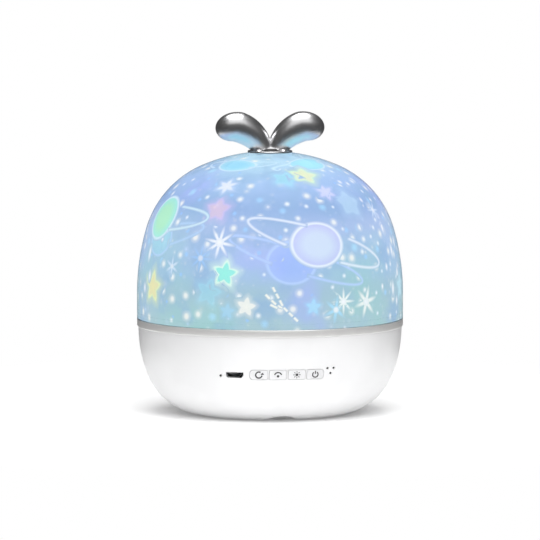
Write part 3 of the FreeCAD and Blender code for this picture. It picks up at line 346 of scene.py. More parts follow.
def noise(material, place, scale, detail=3.0):
    node = addNode(material, "ShaderNodeTexNoise")
    node.inputs["Scale"].default_value = scale
    node.inputs["Detail"].default_value = detail
    wire(material, place, node.inputs["Vector"])
    return node


def arithmetic(material, operation, first, second):
    node = addNode(material, "ShaderNodeMath", operation=operation)
    for socket, given in zip(node.inputs, (first, second)):
        if isinstance(given, (int, float)):
            socket.default_value = given
        else:
            wire(material, given, socket)
    return node.outputs[0]


def span(material, given, low, high, toLow=0.0, toHigh=1.0, smooth=False):
    node = addNode(material, "ShaderNodeMapRange")
    node.interpolation_type = "SMOOTHSTEP" if smooth else "LINEAR"
    node.clamp = True
    for label, setting in (("From Min", low), ("From Max", high), ("To Min", toLow), ("To Max", toHigh)):
        node.inputs[label].default_value = setting
    wire(material, given, node.inputs["Value"])
    return node.outputs["Result"]


def mix(material, share, first, second, blend="MIX"):
    node = addNode(material, "ShaderNodeMix", data_type="RGBA", blend_type=blend)
    sockets = [s for s in node.inputs if s.enabled and s.name in ("Factor", "A", "B")]
    for socket, given in zip(sockets, (share, first, second)):
        if isinstance(given, (int, float)):
            socket.default_value = given
        elif isinstance(given, tuple):
            socket.default_value = (*given, 1.0)
        else:
            wire(material, given, socket)
    return [s for s in node.outputs if s.enabled][0]


def uneven(material, node, pattern, rough):
    # roughness between two values
    wire(material, span(material, pattern.outputs["Fac"], 0.3, 0.7, *rough), node.inputs["Roughness"])


def relieved(material, node, pattern, strength, depth):
    relief = addNode(material, "ShaderNodeBump")
    relief.inputs["Strength"].default_value = strength
    relief.inputs["Distance"].default_value = depth
    wire(material, pattern.outputs["Fac"], relief.inputs["Height"])
    wire(material, relief.outputs["Normal"], node.inputs["Normal"])


def worn(material, node, bump, scale, rough):
    # fine relief and an uneven finish
    place = objectPlace(material)
    relieved(material, node, noise(material, place, scale), bump, 0.05 * mm)
    uneven(material, node, noise(material, place, scale / 20), rough)


def speckled(material, node, colour):
    # slightly darker patches
    spots = noise(material, objectPlace(material), 35)
    share = span(material, spots.outputs["Fac"], 0.45, 0.6)
    wire(material, mix(material, share, colour, tuple(0.97 * c for c in colour)), node.inputs["Base Color"])


plainFinishes = {
    "white_shell": {"colour": (0.9, 0.9, 0.905), "rough": (0.3, 0.38), "bump": 0.03, "coat": 0.1},
    "white_keys": {"colour": (0.8, 0.8, 0.81), "rough": (0.34, 0.42), "bump": 0.03, "coat": 0.15},
    "inner_white": {"colour": (0.76, 0.76, 0.75), "rough": (0.4, 0.5), "bump": 0.05, "coat": 0.0},
    "gear_plastic": {"colour": (0.72, 0.71, 0.66), "rough": (0.35, 0.5), "bump": 0.04, "coat": 0.0},
    "black_plastic": {"colour": (0.035, 0.035, 0.038), "rough": (0.35, 0.5), "bump": 0.05, "coat": 0.0},
    "port_tongue": {"colour": (0.3, 0.3, 0.31), "rough": (0.4, 0.5), "bump": 0.03, "coat": 0.0},
    "key_print": {"colour": (0.05, 0.05, 0.052), "rough": (0.45, 0.55), "bump": 0.02, "coat": 0.0},
    "soft_rubber": {"colour": (0.08, 0.08, 0.085), "rough": (0.7, 0.8), "bump": 0.12, "coat": 0.0},
    "feet_rubber": {"colour": (0.55, 0.55, 0.54), "rough": (0.7, 0.8), "bump": 0.12, "coat": 0.0},
    "battery_sleeve": {"colour": (0.03, 0.16, 0.42), "rough": (0.25, 0.35), "bump": 0.03, "coat": 0.4},
    "wire_cover": {"colour": (0.5, 0.03, 0.03), "rough": (0.4, 0.5), "bump": 0.03, "coat": 0.0},
    "light_pipe": {"colour": (0.05, 0.05, 0.055), "rough": (0.15, 0.25), "bump": 0.01, "coat": 0.3},
    "lamp_chip": {"colour": (0.85, 0.72, 0.28), "rough": (0.3, 0.4), "bump": 0.02, "coat": 0.2},
}
for name, finish in plainFinishes.items():
    material, node = shader(name, Base_Color=(*finish["colour"], 1.0))
    node.inputs["Coat Weight"].default_value = finish["coat"]
    speckled(material, node, finish["colour"])
    worn(material, node, finish["bump"], 900, finish["rough"])

metals = {
    "steel": {"colour": (0.62, 0.62, 0.63), "rough": (0.25, 0.38)},
    "motor_can": {"colour": (0.55, 0.55, 0.54), "rough": (0.3, 0.45)},
    "port_metal": {"colour": (0.86, 0.86, 0.87), "rough": (0.5, 0.6)},
    "chrome_plate": {"colour": (0.84, 0.84, 0.85), "rough": (0.3, 0.35)},
}
for name, finish in metals.items():
    material, node = shader(name, Base_Color=(*finish["colour"], 1.0), Metallic=1.0)
    worn(material, node, 0.01, 400, finish["rough"])

# circuit boards: a solder mask with thin copper runs under it
copperRuns = {"Scale": 300.0, "Mortar Size": 0.08, "Brick Width": 0.8, "Row Height": 0.45}
for name, mask, copper in (("circuit_board", (0.01, 0.12, 0.05), (0.03, 0.22, 0.09)),
                           ("lamp_board", (0.75, 0.75, 0.73), (0.62, 0.62, 0.6))):
    material, node = shader(name, Roughness=0.3)
    node.inputs["Coat Weight"].default_value = 0.3
    runs = addNode(material, "ShaderNodeTexBrick")
    for label, setting in copperRuns.items():
        runs.inputs[label].default_value = setting
    for label, colour in (("Color1", mask), ("Color2", mask), ("Mortar", copper)):
        runs.inputs[label].default_value = (*colour, 1.0)
    wire(material, objectPlace(material), runs.inputs["Vector"])
    wire(material, runs.outputs["Color"], node.inputs["Base Color"])

# satin ring, brushed round the axis
ringLook = {"metallic": 0.5, "colour": (0.87, 0.865, 0.855), "rough": (0.3, 0.46), "round": 0.6, "up": 2600.0}
material, node = shader("silver_trim", Metallic=ringLook["metallic"], Base_Color=(*ringLook["colour"], 1.0))
apart = addNode(material, "ShaderNodeSeparateXYZ")
wire(material, objectPlace(material), apart.inputs[0])
turn = arithmetic(material, "ARCTAN2", apart.outputs["Y"], apart.outputs["X"])
brushed = addNode(material, "ShaderNodeCombineXYZ")
wire(material, arithmetic(material, "MULTIPLY", turn, ringLook["round"]), brushed.inputs["X"])
wire(material, arithmetic(material, "MULTIPLY", apart.outputs["Z"], ringLook["up"]), brushed.inputs["Y"])
streaks = noise(material, brushed.outputs[0], 3.0, 4.0)
uneven(material, node, streaks, ringLook["rough"])
relieved(material, node, streaks, 0.05, 0.03 * mm)

# clear lens
material, node = shader("clear_lens", Base_Color=(0.98, 0.99, 1.0, 1.0), IOR=1.49)
node.inputs["Transmission Weight"].default_value = 1.0
uneven(material, node, noise(material, objectPlace(material), 60), (0.05, 0.12))

# printed film, lit from inside: a painted glow, where the film emits its own print colours in place of the
# lamp's light shining through it
filmBands = [
    (0.0, (174, 204, 212)), (0.12, (168, 200, 210)), (0.24, (164, 196, 212)), (0.36, (164, 196, 224)),
    (0.5, (172, 198, 232)), (0.62, (170, 192, 230)), (0.75, (148, 178, 222)), (0.88, (164, 194, 236)),
    (1.0, (190, 226, 247)),
]
filmLook = {
    "emission": 0.93, "diffuse": 0.1,
    "violet": (170, 184, 246), "teal": (158, 208, 206), "deep": (146, 180, 218),
}


def filmSky(material, place):
    # colour bands by height with violet, teal and deeper clouds
    apart = addNode(material, "ShaderNodeSeparateXYZ")
    wire(material, place, apart.inputs[0])
    level = span(material, apart.outputs["Z"], film["bottom"] * mm, 0.119)
    bands = addNode(material, "ShaderNodeValToRGB")
    bands.color_ramp.interpolation = "EASE"
    for index, (position, colour) in enumerate(filmBands):
        stop = bands.color_ramp.elements[index] if index < 2 else bands.color_ramp.elements.new(position)
        stop.position = position
        stop.color = (*linear(*colour), 1.0)
    wire(material, level, bands.inputs[0])
    violetClouds = noise(material, place, 26, 3.0)
    sky = mix(material, span(material, violetClouds.outputs["Fac"], 0.5, 0.72, 0.0, 0.7, True),
              bands.outputs["Color"], linear(*filmLook["violet"]))
    shifted = addNode(material, "ShaderNodeVectorMath", operation="ADD")
    shifted.inputs[1].default_value = (0.4, 0.9, 0.2)
    wire(material, place, shifted.inputs[0])
    tealClouds = noise(material, shifted.outputs[0], 22, 3.0)
    tealShare = span(material, tealClouds.outputs["Fac"], 0.48, 0.7, 0.0, 0.8, True)
    lowShare = arithmetic(material, "MULTIPLY", tealShare, span(material, level, 0.0, 0.75, 1.0, 0.2))
    sky = mix(material, lowShare, sky, linear(*filmLook["teal"]))
    deepClouds = noise(material, shifted.outputs[0], 60, 4.0)
    return mix(material, span(material, deepClouds.outputs["Fac"], 0.48, 0.72, 0.0, 0.7, True),
               sky, linear(*filmLook["deep"]))


material, node = shader("printed_film", Roughness=0.45)
node.inputs["Specular IOR Level"].default_value = 0.1
place = objectPlace(material)
sky = filmSky(material, place)
for scale, core, halo, strength in ((140, 0.12, 0.4, 0.85), (230, 0.14, 0.4, 0.6), (400, 0.2, 0.45, 0.3)):
    cells = addNode(material, "ShaderNodeTexVoronoi")
    cells.inputs["Scale"].default_value = scale
    wire(material, place, cells.inputs["Vector"])
    hue = addNode(material, "ShaderNodeSeparateColor")
    wire(material, cells.outputs["Color"], hue.inputs[0])
    picked = arithmetic(material, "MULTIPLY", span(material, hue.outputs[0], 0.5, 0.9), strength)
    spot = arithmetic(material, "ADD", span(material, cells.outputs["Distance"], core, 0.02, 0.0, 0.7, True),
                      span(material, cells.outputs["Distance"], halo, 0.05, 0.0, 0.3, True))
    share = arithmetic(material, "MULTIPLY", picked, spot)
    warmth = span(material, hue.outputs[1], 0.2, 0.8)
    tone = mix(material, warmth, linear(206, 226, 255), linear(255, 250, 240))
    sky = mix(material, share, sky, tone)
tint = addNode(material, "ShaderNodeAttribute", attribute_name="tint")
glow = addNode(material, "ShaderNodeAttribute", attribute_name="glow")
printed = mix(material, glow.outputs["Fac"], sky, tint.outputs["Color"])
# painted glow: the print's colours are emitted, standing in for the lamp's light through the film
wire(material, printed, node.inputs["Emission Color"])
node.inputs["Emission Strength"].default_value = filmLook["emission"]
dark = mix(material, 1.0, printed, (filmLook["diffuse"],) * 3, "MULTIPLY")
wire(material, dark, node.inputs["Base Color"])

# clear dome: its outer face holds a faint painted glow in the film's sky colours, standing in for the film's
# light on it
domeLook = {
    "colour": (0.985, 0.99, 1.0), "rough": (0.005, 0.02), "outerIor": 1.085, "innerIor": 1.001,
    "veil": 0.14,
}
for name, ior in (("clear_dome", domeLook["outerIor"]), ("clear_dome_inside", domeLook["innerIor"])):
    material, node = shader(name, Base_Color=(*domeLook["colour"], 1.0), IOR=ior)
    node.inputs["Transmission Weight"].default_value = 1.0
    place = objectPlace(material)
    uneven(material, node, noise(material, place, 60), domeLook["rough"])
    if name == "clear_dome":
        # painted glow: the outer face emits the film's sky colours, mixed in by the share in domeLook
        paintedGlowShader = addNode(material, "ShaderNodeEmission")
        wire(material, filmSky(material, place), paintedGlowShader.inputs["Color"])
        both = addNode(material, "ShaderNodeMixShader")
        both.inputs[0].default_value = domeLook["veil"]
        wire(material, node.outputs[0], both.inputs[1])
        wire(material, paintedGlowShader.outputs[0], both.inputs[2])
        wire(material, both.outputs[0], material.node_tree.nodes["Material Output"].inputs["Surface"])
print("materials done")


# Domes

spigotBottom = dome["base"] - dome["spigotLength"]
seatInside = dome["seat"] - dome["wall"]
inner = domeCurve(dome["wall"], dome["padRadius"])
outerOutline = [
    (dome["spigotInner"], spigotBottom), (dome["spigotOuter"], spigotBottom),
    (dome["spigotOuter"], dome["base"]), (dome["radius"], dome["base"]),
] + domeCurve(0.0, dome["seatRadius"]) + [
    (0.0, dome["seat"]), (0.0, seatInside), (dome["padRadius"], seatInside),
] + inner[::-1] + [
    (dome["radius"] - dome["wall"], dome["base"] + dome["rim"]),
    (dome["spigotInner"], dome["base"] + dome["rim"]),
]
outerDome = lathe("clear_dome_shell", outerOutline, dome["segments"], 40)
finishPiece(outerDome, materials["clear_dome"], "dome", ["outer_dome"])
outerDome.data.materials.append(materials["clear_dome_inside"])
for face in outerDome.data.polygons:
    rise = max(face.center.z / mm - crownCentre[1], 0) / crownRadius
    out = Vector((face.center.x, face.center.y, 0)).normalized() + Vector((0, 0, rise))
    face.material_index = 0 if face.normal.dot(out) > 0 and face.center.z > dome["base"] * mm else 1

filmOutline = (filmCurve + domeCurve(film["gap"] + film["wall"])[::-1]
                + [(dome["radius"] - film["gap"] - film["wall"], film["bottom"])])
filmShell = lathe("star_film", filmOutline, dome["segments"], 40)
finishPiece(filmShell, materials["printed_film"], "film", ["film_dome"])
print("domes done")


# Printed planets, stars and lines

white = linear(252, 253, 255)


def oval(halfWidth, halfHeight):
    return lambda angle, share: (halfWidth * share * math.cos(angle), halfHeight * share * math.sin(angle))


def star(radius, points, depth, lean):
    # a pointed outline; shares above 1 swell evenly, as a halo does
    def outline(angle, share):
        turn = (angle - math.radians(lean)) / (2 * math.pi) * points
        away = abs((turn % 1.0) * 2 - 1)
        reach = radius * (depth + (1 - depth) * away ** 1.25)
        reach = reach * min(share, 1.0) + radius * max(share - 1.0, 0.0) * 0.8
        return reach * math.sin(angle), reach * math.cos(angle)
    return outline


def ringPoints(halfLength, halfWidth, tilt, start, end):
    c, s = math.cos(math.radians(tilt)), math.sin(math.radians(tilt))
    circle = arcPoints((0, 0), 1.0, start, end, 56)
    flat = [(halfLength * x, halfWidth * y) for x, y in circle]
    return [(x * c - y * s, x * s + y * c) for x, y in flat]


# heights over the film, so that each kind of print lies over the one before
lifts = {
    "far": 0.10, "star": 0.13, "glint": 0.15, "burst": 0.18, "core": 0.20, "near": 0.22, "dash": 0.24,
    "crownStar": 0.29,
}
crownHeight = 110.0  # stars above it lie over the planets near it
starStep = 0.003  # each star lies this much over the last one, so that halos don't share a height
ringLine = {"width": 0.62, "halo": 3.2, "strength": 0.85, "lift": 0.05}

planets = Print("printed_planets")
planetRows = [
    {"at": (2.5, 75.5), "size": (11.6, 9.8), "fill": ((158, 184, 255), (168, 192, 253)), "strength": 0.7,
     "ring": (35.0, 5.4, -18), "off": (4.0, 0.6), "arcs": [(104, 250), (-82, 64)], "line": (186, 212, 255),
     "lift": "far"},
    {"at": (15.9, 83.4), "size": (12.7, 10.3), "fill": ((224, 236, 252), (206, 208, 250)), "strength": 0.72,
     "ring": (36.5, 6.4, -18), "off": (2.6, 0.4), "arcs": [(104, 244), (-74, 70)], "line": (240, 246, 255),
     "lift": "near"},
    {"at": (-75.0, 84.0), "size": (10.0, 8.4), "fill": ((166, 226, 238), (164, 216, 240)), "strength": 0.6,
     "ring": (30.0, 5.0, 14), "off": (0, 0), "arcs": [(-74, 62)], "line": (182, 214, 246), "lift": "far"},
    {"at": (-80.0, 93.0), "size": (11.5, 10.6), "fill": ((180, 248, 190), (166, 244, 220)), "strength": 0.85,
     "ring": (31.0, 6.2, 4), "off": (2.0, 0), "arcs": [(-76, 70)], "line": (220, 244, 250), "lift": "near"},
    {"at": (-58.0, 115.8), "size": (11.0, 6.6), "fill": ((146, 218, 246), (172, 228, 248)), "strength": 0.85,
     "ring": (20.0, 4.0, 16), "off": (0, 0), "arcs": [(-66, 62), (118, 236)], "line": (214, 238, 255),
     "lift": "near"},
    {"at": (55.0, 115.9), "size": (12.0, 6.6), "fill": ((166, 240, 255), (166, 230, 252)), "strength": 0.85,
     "ring": (22.0, 4.4, 10), "off": (-2.0, 0), "arcs": [(112, 246), (-66, 62)], "line": (214, 240, 255),
     "lift": "near"},
    {"at": (118.0, 84.0), "size": (12.0, 10.0), "fill": ((218, 214, 250), (200, 196, 248)), "strength": 0.7,
     "ring": (31.0, 5.6, -14), "off": (0, 0), "arcs": [(110, 244), (-74, 66)], "line": (236, 240, 255),
     "lift": "near"},
    {"at": (196.0, 92.0), "size": (10.0, 9.2), "fill": ((180, 248, 200), (166, 242, 220)), "strength": 0.8,
     "ring": (27.0, 5.2, 15), "off": (0, 0), "arcs": [(112, 244), (-72, 66)], "line": (226, 248, 244),
     "lift": "near"},
]
for row in planetRows:
    middle, edge = (linear(*c) for c in row["fill"])
    lineColour, strength, lift = linear(*row["line"]), row["strength"], lifts[row["lift"]]
    planets.blob(*row["at"], oval(*row["size"]), [
        (0, middle, strength), (0.5, middle, strength), (0.9, edge, strength),
        (0.95, lineColour, 0.8), (0.985, lineColour, 0.95), (1.02, lineColour, 0.6), (1.1, lineColour, 0.0),
    ], lift, 72)
    for start, end in row["arcs"]:
        points = [(x + row["off"][0], y + row["off"][1]) for x, y in ringPoints(*row["ring"], start, end)]
        planets.line(*row["at"], points, ringLine["width"], ringLine["halo"], lineColour,
                     ringLine["strength"], lift + ringLine["lift"])
planets.build()

stars = Print("printed_stars")
starRows = [
    # place, radius, points, depth, lean, fill, edge, how much of the edge shows
    (-29.0, 70.3, 6.6, 5, 0.5, 8, (150, 250, 226), (228, 255, 238), 1.0),
    (-37.0, 61.5, 6.6, 5, 0.5, 14, (158, 224, 240), (166, 226, 244), 0.6),
    (-75.5, 61.5, 7.6, 5, 0.52, 6, (252, 240, 160), (236, 246, 180), 0.95),
    (-38.3, 98.8, 6.4, 5, 0.62, 0, (250, 208, 226), (226, 200, 242), 0.7),
    (5.0, 111.6, 6.2, 5, 0.6, 20, (160, 230, 240), (168, 228, 246), 0.75),
    (23.5, 112.6, 7.0, 5, 0.6, 20, (250, 252, 186), (226, 250, 206), 0.9),
    (44.0, 100.5, 7.0, 5, 0.66, 10, (200, 232, 252), (196, 228, 250), 0.65),
    (31.0, 105.8, 4.6, 6, 0.5, 0, (230, 228, 255), (216, 218, 255), 0.85),
    (-40.0, 108.5, 4.8, 6, 0.5, 0, (250, 250, 255), (222, 234, 255), 0.9),
    (-18.7, 55.3, 4.4, 5, 0.5, 10, (255, 253, 242), (246, 246, 238), 1.0),
    (12.3, 55.0, 3.6, 5, 0.5, 4, (176, 232, 255), (170, 226, 255), 0.85),
    (-27.6, 53.0, 3.4, 5, 0.5, 6, (170, 222, 255), (166, 218, 250), 0.6),
    (80.0, 60.0, 5.6, 5, 0.5, 0, (204, 242, 255), (200, 242, 252), 0.85),
    (112.0, 62.0, 6.2, 5, 0.5, 12, (252, 240, 170), (244, 248, 186), 0.9),
    (150.0, 72.0, 6.2, 5, 0.5, -8, (158, 250, 226), (228, 255, 238), 1.0),
    (168.0, 58.0, 4.6, 5, 0.5, 6, (250, 214, 230), (240, 208, 244), 0.8),
    (214.0, 64.0, 6.2, 5, 0.5, 10, (160, 226, 244), (204, 242, 250), 0.85),
    (236.0, 78.0, 5.4, 5, 0.55, 0, (248, 250, 196), (234, 250, 210), 0.85),
]
for index, (azimuth, height, radius, points, depth, lean, fill, edge, shown) in enumerate(starRows):
    fill, edge = linear(*fill), linear(*edge)
    lift = lifts["crownStar" if height > crownHeight else "star"] + starStep * index
    stars.blob(azimuth, height, star(radius, points, depth, lean), [
        (0, fill, 0.9 * shown), (0.72, fill, 0.8 * shown), (0.9, edge, shown), (1.0, edge, 0.8 * shown),
        (1.15, edge, 0.4 * shown), (1.8, edge, 0.0),
    ], lift, 60)
stars.build()

bursts = Print("printed_bursts")
burstRows = [
    # place, radius, rays, lean, colour, how much shows
    (-33.0, 84.3, 7.4, 8, 10, (250, 252, 255), 1.0), (27.8, 56.8, 6.0, 8, 0, (250, 255, 250), 1.0),
    (41.7, 55.8, 7.2, 6, 16, (255, 255, 250), 0.9), (23.7, 53.2, 6.2, 6, 8, (170, 226, 255), 0.8),
    (-42.5, 76.8, 6.0, 8, 4, (160, 206, 255), 0.6), (-60.0, 72.0, 4.6, 6, 0, (226, 240, 255), 0.7),
    (64.0, 96.0, 5.6, 8, 6, (226, 240, 255), 0.8), (96.0, 72.0, 6.4, 8, 0, (250, 252, 255), 0.9),
    (134.0, 58.0, 6.4, 8, 12, (250, 255, 250), 1.0), (180.0, 76.0, 6.8, 8, 0, (250, 252, 255), 1.0),
    (226.0, 96.0, 6.0, 6, 10, (200, 226, 255), 0.8), (246.0, 58.0, 6.0, 8, 4, (255, 255, 250), 0.9),
]
for azimuth, height, radius, rays, lean, colour, shown in burstRows:
    colour = linear(*colour)
    bursts.blob(azimuth, height, star(radius, rays, 0.14, lean), [
        (0, colour, shown), (0.35, colour, shown), (0.7, colour, 0.75 * shown), (1.0, colour, 0.3 * shown),
        (1.3, colour, 0.0),
    ], lifts["burst"], rays * 12)
    bursts.blob(azimuth, height, oval(radius * 0.3, radius * 0.3), [
        (0, white, shown), (0.5, white, 0.9 * shown), (1.0, colour, 0.75 * shown),
    ], lifts["core"], 20)

# glints that crowd both edges of the front
glintRows = [
    # place, half width, half height, how much shows
    (58.0, 101.0, 1.5, 2.0, 0.8), (66.0, 88.0, 2.2, 3.6, 0.9), (71.5, 77.0, 2.4, 4.2, 0.95),
    (61.0, 70.5, 1.7, 2.4, 0.9), (76.0, 66.0, 2.6, 4.6, 0.95), (67.0, 60.0, 2.4, 4.6, 0.9),
    (80.0, 80.0, 2.2, 3.8, 0.85), (73.0, 53.8, 2.2, 3.0, 0.9), (83.0, 57.0, 2.4, 4.0, 0.9),
    (55.0, 62.0, 1.4, 1.8, 0.9), (-84.0, 76.0, 2.4, 5.0, 0.85), (-80.0, 66.0, 2.2, 3.6, 0.85),
    (-86.0, 60.0, 2.4, 3.2, 0.8), (53.0, 109.0, 1.8, 1.8, 0.8), (70.0, 108.0, 2.6, 2.0, 0.75),
]
for azimuth, height, halfWidth, halfHeight, shown in glintRows:
    bursts.blob(azimuth, height, oval(halfWidth, halfHeight), [
        (0, white, shown), (0.35, white, 0.85 * shown), (0.6, white, 0.4 * shown), (1.0, white, 0.0),
    ], lifts["glint"], 20)
bursts.build()

# dashed lines, as between the stars of a sky chart
dash = {
    "length": 3.6, "width": 0.66, "halo": 2.6, "colour": (255, 254, 238),
    "shares": (0.06, 0.12, 0.45, 0.78, 0.84),
}
lines = Print("printed_constellations")
constellationRows = [
    ((-6.7, 64.7), [(0, 0), (3.2, -6.0), (5.0, -9.6), (12.2, -16.6)]),
    ((-10.1, 61.3), [(0, 0), (5.6, -5.4), (8.4, -6.6)]),
    ((-4.0, 54.6), [(0, 0), (-4.6, 2.2)]),
    ((104.0, 66.0), [(0, 0), (5.0, -6.0), (12.0, -9.0), (17.0, -4.0)]),
    ((176.0, 66.0), [(0, 0), (6.0, 5.0), (12.0, 3.0), (18.0, 8.0)]),
    ((250.0, 90.0), [(0, 0), (7.0, -4.0), (13.0, -10.0)]),
]
for (azimuth, height), corners in constellationRows:
    for start, end in zip(corners, corners[1:]):
        count = max(1, round(math.dist(start, end) / dash["length"]))
        for index in range(count):
            shares = [(index + part) / count for part in dash["shares"]]
            points = [tuple(a + (b - a) * share for a, b in zip(start, end)) for share in shares]
            lines.line(azimuth, height, points, dash["width"], dash["halo"], linear(*dash["colour"]), 1.0,
                       lifts["dash"])
lines.build()
print("motifs done")


# Scattered dots: soft dots of two kinds, set out over the film by Geometry Nodes

def softDot(name, core, middle):
    vertices, faces, glows = [(0, 0, 0)], [], [1.0]
    steps = 14
    for share, level in ((0.34, core), (0.55, middle), (1.0, 0.0)):
        for step in range(steps):
            angle = 2 * math.pi * step / steps
            vertices.append((share * mm * math.cos(angle), share * mm * math.sin(angle), 0))
            glows.append(level)
    for step in range(steps):
        following = (step + 1) % steps
        faces.append((0, 1 + step, 1 + following))
        for ring in (1, 1 + steps):
            faces.append((ring + step, ring + steps + step, ring + steps + following, ring + following))
    piece = newObject(name, vertices, faces)
    glow = piece.data.attributes.new("glow", "FLOAT", "POINT")
    for index, level in enumerate(glows):
        glow.data[index].value = level
    return piece


def scatterTree(name):
    tree = bpy.data.node_groups.new(name, "GeometryNodeTree")
    tree.interface.new_socket("Geometry", in_out="INPUT", socket_type="NodeSocketGeometry")
    wanted = {
        "Dot": "Object", "Spacing": "Float", "Density": "Float", "Seed": "Int", "Smallest": "Float",
        "Largest": "Float", "Lift": "Float", "Tint": "Color", "Other Tint": "Color", "Strength": "Float",
        "Material": "Material",
    }
    for label, kind in wanted.items():
        tree.interface.new_socket(label, in_out="INPUT", socket_type="NodeSocket" + kind)
    tree.interface.new_socket("Geometry", in_out="OUTPUT", socket_type="NodeSocketGeometry")
    given = tree.nodes.new("NodeGroupInput").outputs

    def new(kind, inputs, **settings):
        # a node with each input linked to a socket or set to a value
        node = tree.nodes.new(kind)
        for label, setting in settings.items():
            setattr(node, label, setting)
        for socket, source in inputs.items():
            if isinstance(source, bpy.types.NodeSocket):
                tree.links.new(source, node.inputs[socket])
            else:
                node.inputs[socket].default_value = source
        return node.outputs

    scatter = new("GeometryNodeDistributePointsOnFaces", {
        "Mesh": given["Geometry"], "Distance Min": given["Spacing"], "Density Max": given["Density"],
        "Seed": given["Seed"]}, distribute_method="POISSON")
    size = new("FunctionNodeRandomValue", {2: given["Smallest"], 3: given["Largest"]}, data_type="FLOAT")
    squeeze = new("ShaderNodeMath", {0: size[1], 1: 1.6}, operation="POWER")
    # lifted before any dot is scaled, so that small and large ones lie equally high
    offset = new("ShaderNodeVectorMath", {0: scatter["Normal"], "Scale": given["Lift"]}, operation="SCALE")
    raised = new("GeometryNodeSetPosition", {"Geometry": scatter["Points"], "Offset": offset[0]})
    shape = new("GeometryNodeObjectInfo", {"Object": given["Dot"]})
    instance = new("GeometryNodeInstanceOnPoints", {
        "Points": raised[0], "Instance": shape["Geometry"], "Rotation": scatter["Rotation"],
        "Scale": squeeze[0]})
    chance = new("FunctionNodeRandomValue", {}, data_type="FLOAT")
    blend = new("ShaderNodeMix", {0: chance[1], 6: given["Tint"], 7: given["Other Tint"]}, data_type="RGBA")
    tint = new("GeometryNodeStoreNamedAttribute", {
        "Geometry": instance[0], "Name": "tint", "Value": blend[2],
    }, data_type="FLOAT_COLOR", domain="INSTANCE")
    real = new("GeometryNodeRealizeInstances", {0: tint[0]})
    ownGlow = new("GeometryNodeInputNamedAttribute", {"Name": "glow"}, data_type="FLOAT")
    stronger = new("ShaderNodeMath", {0: ownGlow[0], 1: given["Strength"]}, operation="MULTIPLY")
    glow = new("GeometryNodeStoreNamedAttribute", {
        "Geometry": real[0], "Name": "glow", "Value": stronger[0],
    }, data_type="FLOAT", domain="POINT")
    last = new("GeometryNodeSetMaterial", {"Geometry": glow[0], "Material": given["Material"]})
    new("NodeGroupOutput", {0: last[0]})
    return tree


dotShape = softDot("dot_shape", 0.8, 0.34)
dimShape = softDot("dim_shape", 0.8, 0.55)
skinOutline = [point for point in filmCurve if point[0] > 0.1]
skinSegments = 128
skinVertices = []
for radius, height in skinOutline:
    for step in range(skinSegments):
        angle = 2 * math.pi * step / skinSegments
        skinVertices.append((radius * mm * math.cos(angle), radius * mm * math.sin(angle), height * mm))
skinFaces = quadRows(len(skinOutline) - 1, skinSegments)
tree = scatterTree("scattered_dots")
dotRows = {
    "printed_dots": {"Dot": dotShape, "Spacing": 0.0052, "Density": 18000.0, "Seed": 7, "Smallest": 1.15,
                     "Largest": 2.1, "Lift": 0.07 * mm, "Tint": (*linear(236, 246, 255), 1.0),
                     "Other Tint": (*linear(252, 250, 240), 1.0), "Strength": 0.95},
    "printed_dim_dots": {"Dot": dimShape, "Spacing": 0.008, "Density": 9000.0, "Seed": 3, "Smallest": 1.0,
                         "Largest": 1.9, "Lift": 0.04 * mm, "Tint": (*linear(150, 196, 255), 1.0),
                         "Other Tint": (*linear(176, 226, 250), 1.0), "Strength": 0.8},
}
for name, settings in dotRows.items():
    skin = newObject(name + "_skin", skinVertices, skinFaces)
    scatter = skin.modifiers.new("scatter", "NODES")
    scatter.node_group = tree
    sockets = {item.name: item.identifier for item in tree.interface.items_tree if item.in_out == "INPUT"}
    for label, setting in settings.items():
        scatter[sockets[label]] = setting
    scatter[sockets["Material"]] = materials["printed_film"]
    seen = skin.evaluated_get(bpy.context.evaluated_depsgraph_get())
    mesh = bpy.data.meshes.new_from_object(seen)
    mesh.name = name
    skin.modifiers.clear()
    dots = bpy.data.objects.new(name, mesh)
    bpy.context.scene.collection.objects.link(dots)
    bpy.data.objects.remove(skin)
    finishPiece(dots, materials["printed_film"], "film")
for shape in (dotShape, dimShape):
    bpy.data.objects.remove(shape)
print("dots done")


# Chrome handle

leaf = {
    "arcX": 21.1, "arcDrop": 6.3, "arcRadius": 19.6, "droop": 2.1, "rootAngle": 156.0, "sweep": 81.0,
    "rootWidth": 9.2, "width": 14.3, "widest": 0.6, "fullness": 0.8, "sunk": 0.3, "around": 56, "along": 60,
}
disc = {"radius": 10.5, "height": 1.2, "round": 0.4}
bead = {
    "x": 5.8, "halfWidth": 3.15, "halfLength": 6.0, "halfHeight": 2.3, "base": 0.6,
    "rows": 14, "columns": 40,
}


def leafPlace(share, turn, side):
    past = max((share - leaf["widest"]) / (1 - leaf["widest"]), 0.0)
    before = min(share / leaf["widest"], 1.0)
    half = (leaf["rootWidth"] + (leaf["width"] - leaf["rootWidth"]) * math.sin(math.pi / 2 * before)) / 2
    half *= math.sqrt(max(1 - past ** 2, 0.0))
    reach = leaf["arcRadius"] - leaf["droop"] * past
    angle = math.radians(leaf["rootAngle"] - leaf["sweep"] * share)
    out = reach + half * math.cos(turn)
    x = leaf["arcX"] + out * math.cos(angle)
    z = dome["seat"] - leaf["arcDrop"] + out * math.sin(angle)
    return (side * x * mm, leaf["fullness"] * half * math.sin(turn) * mm, z * mm)


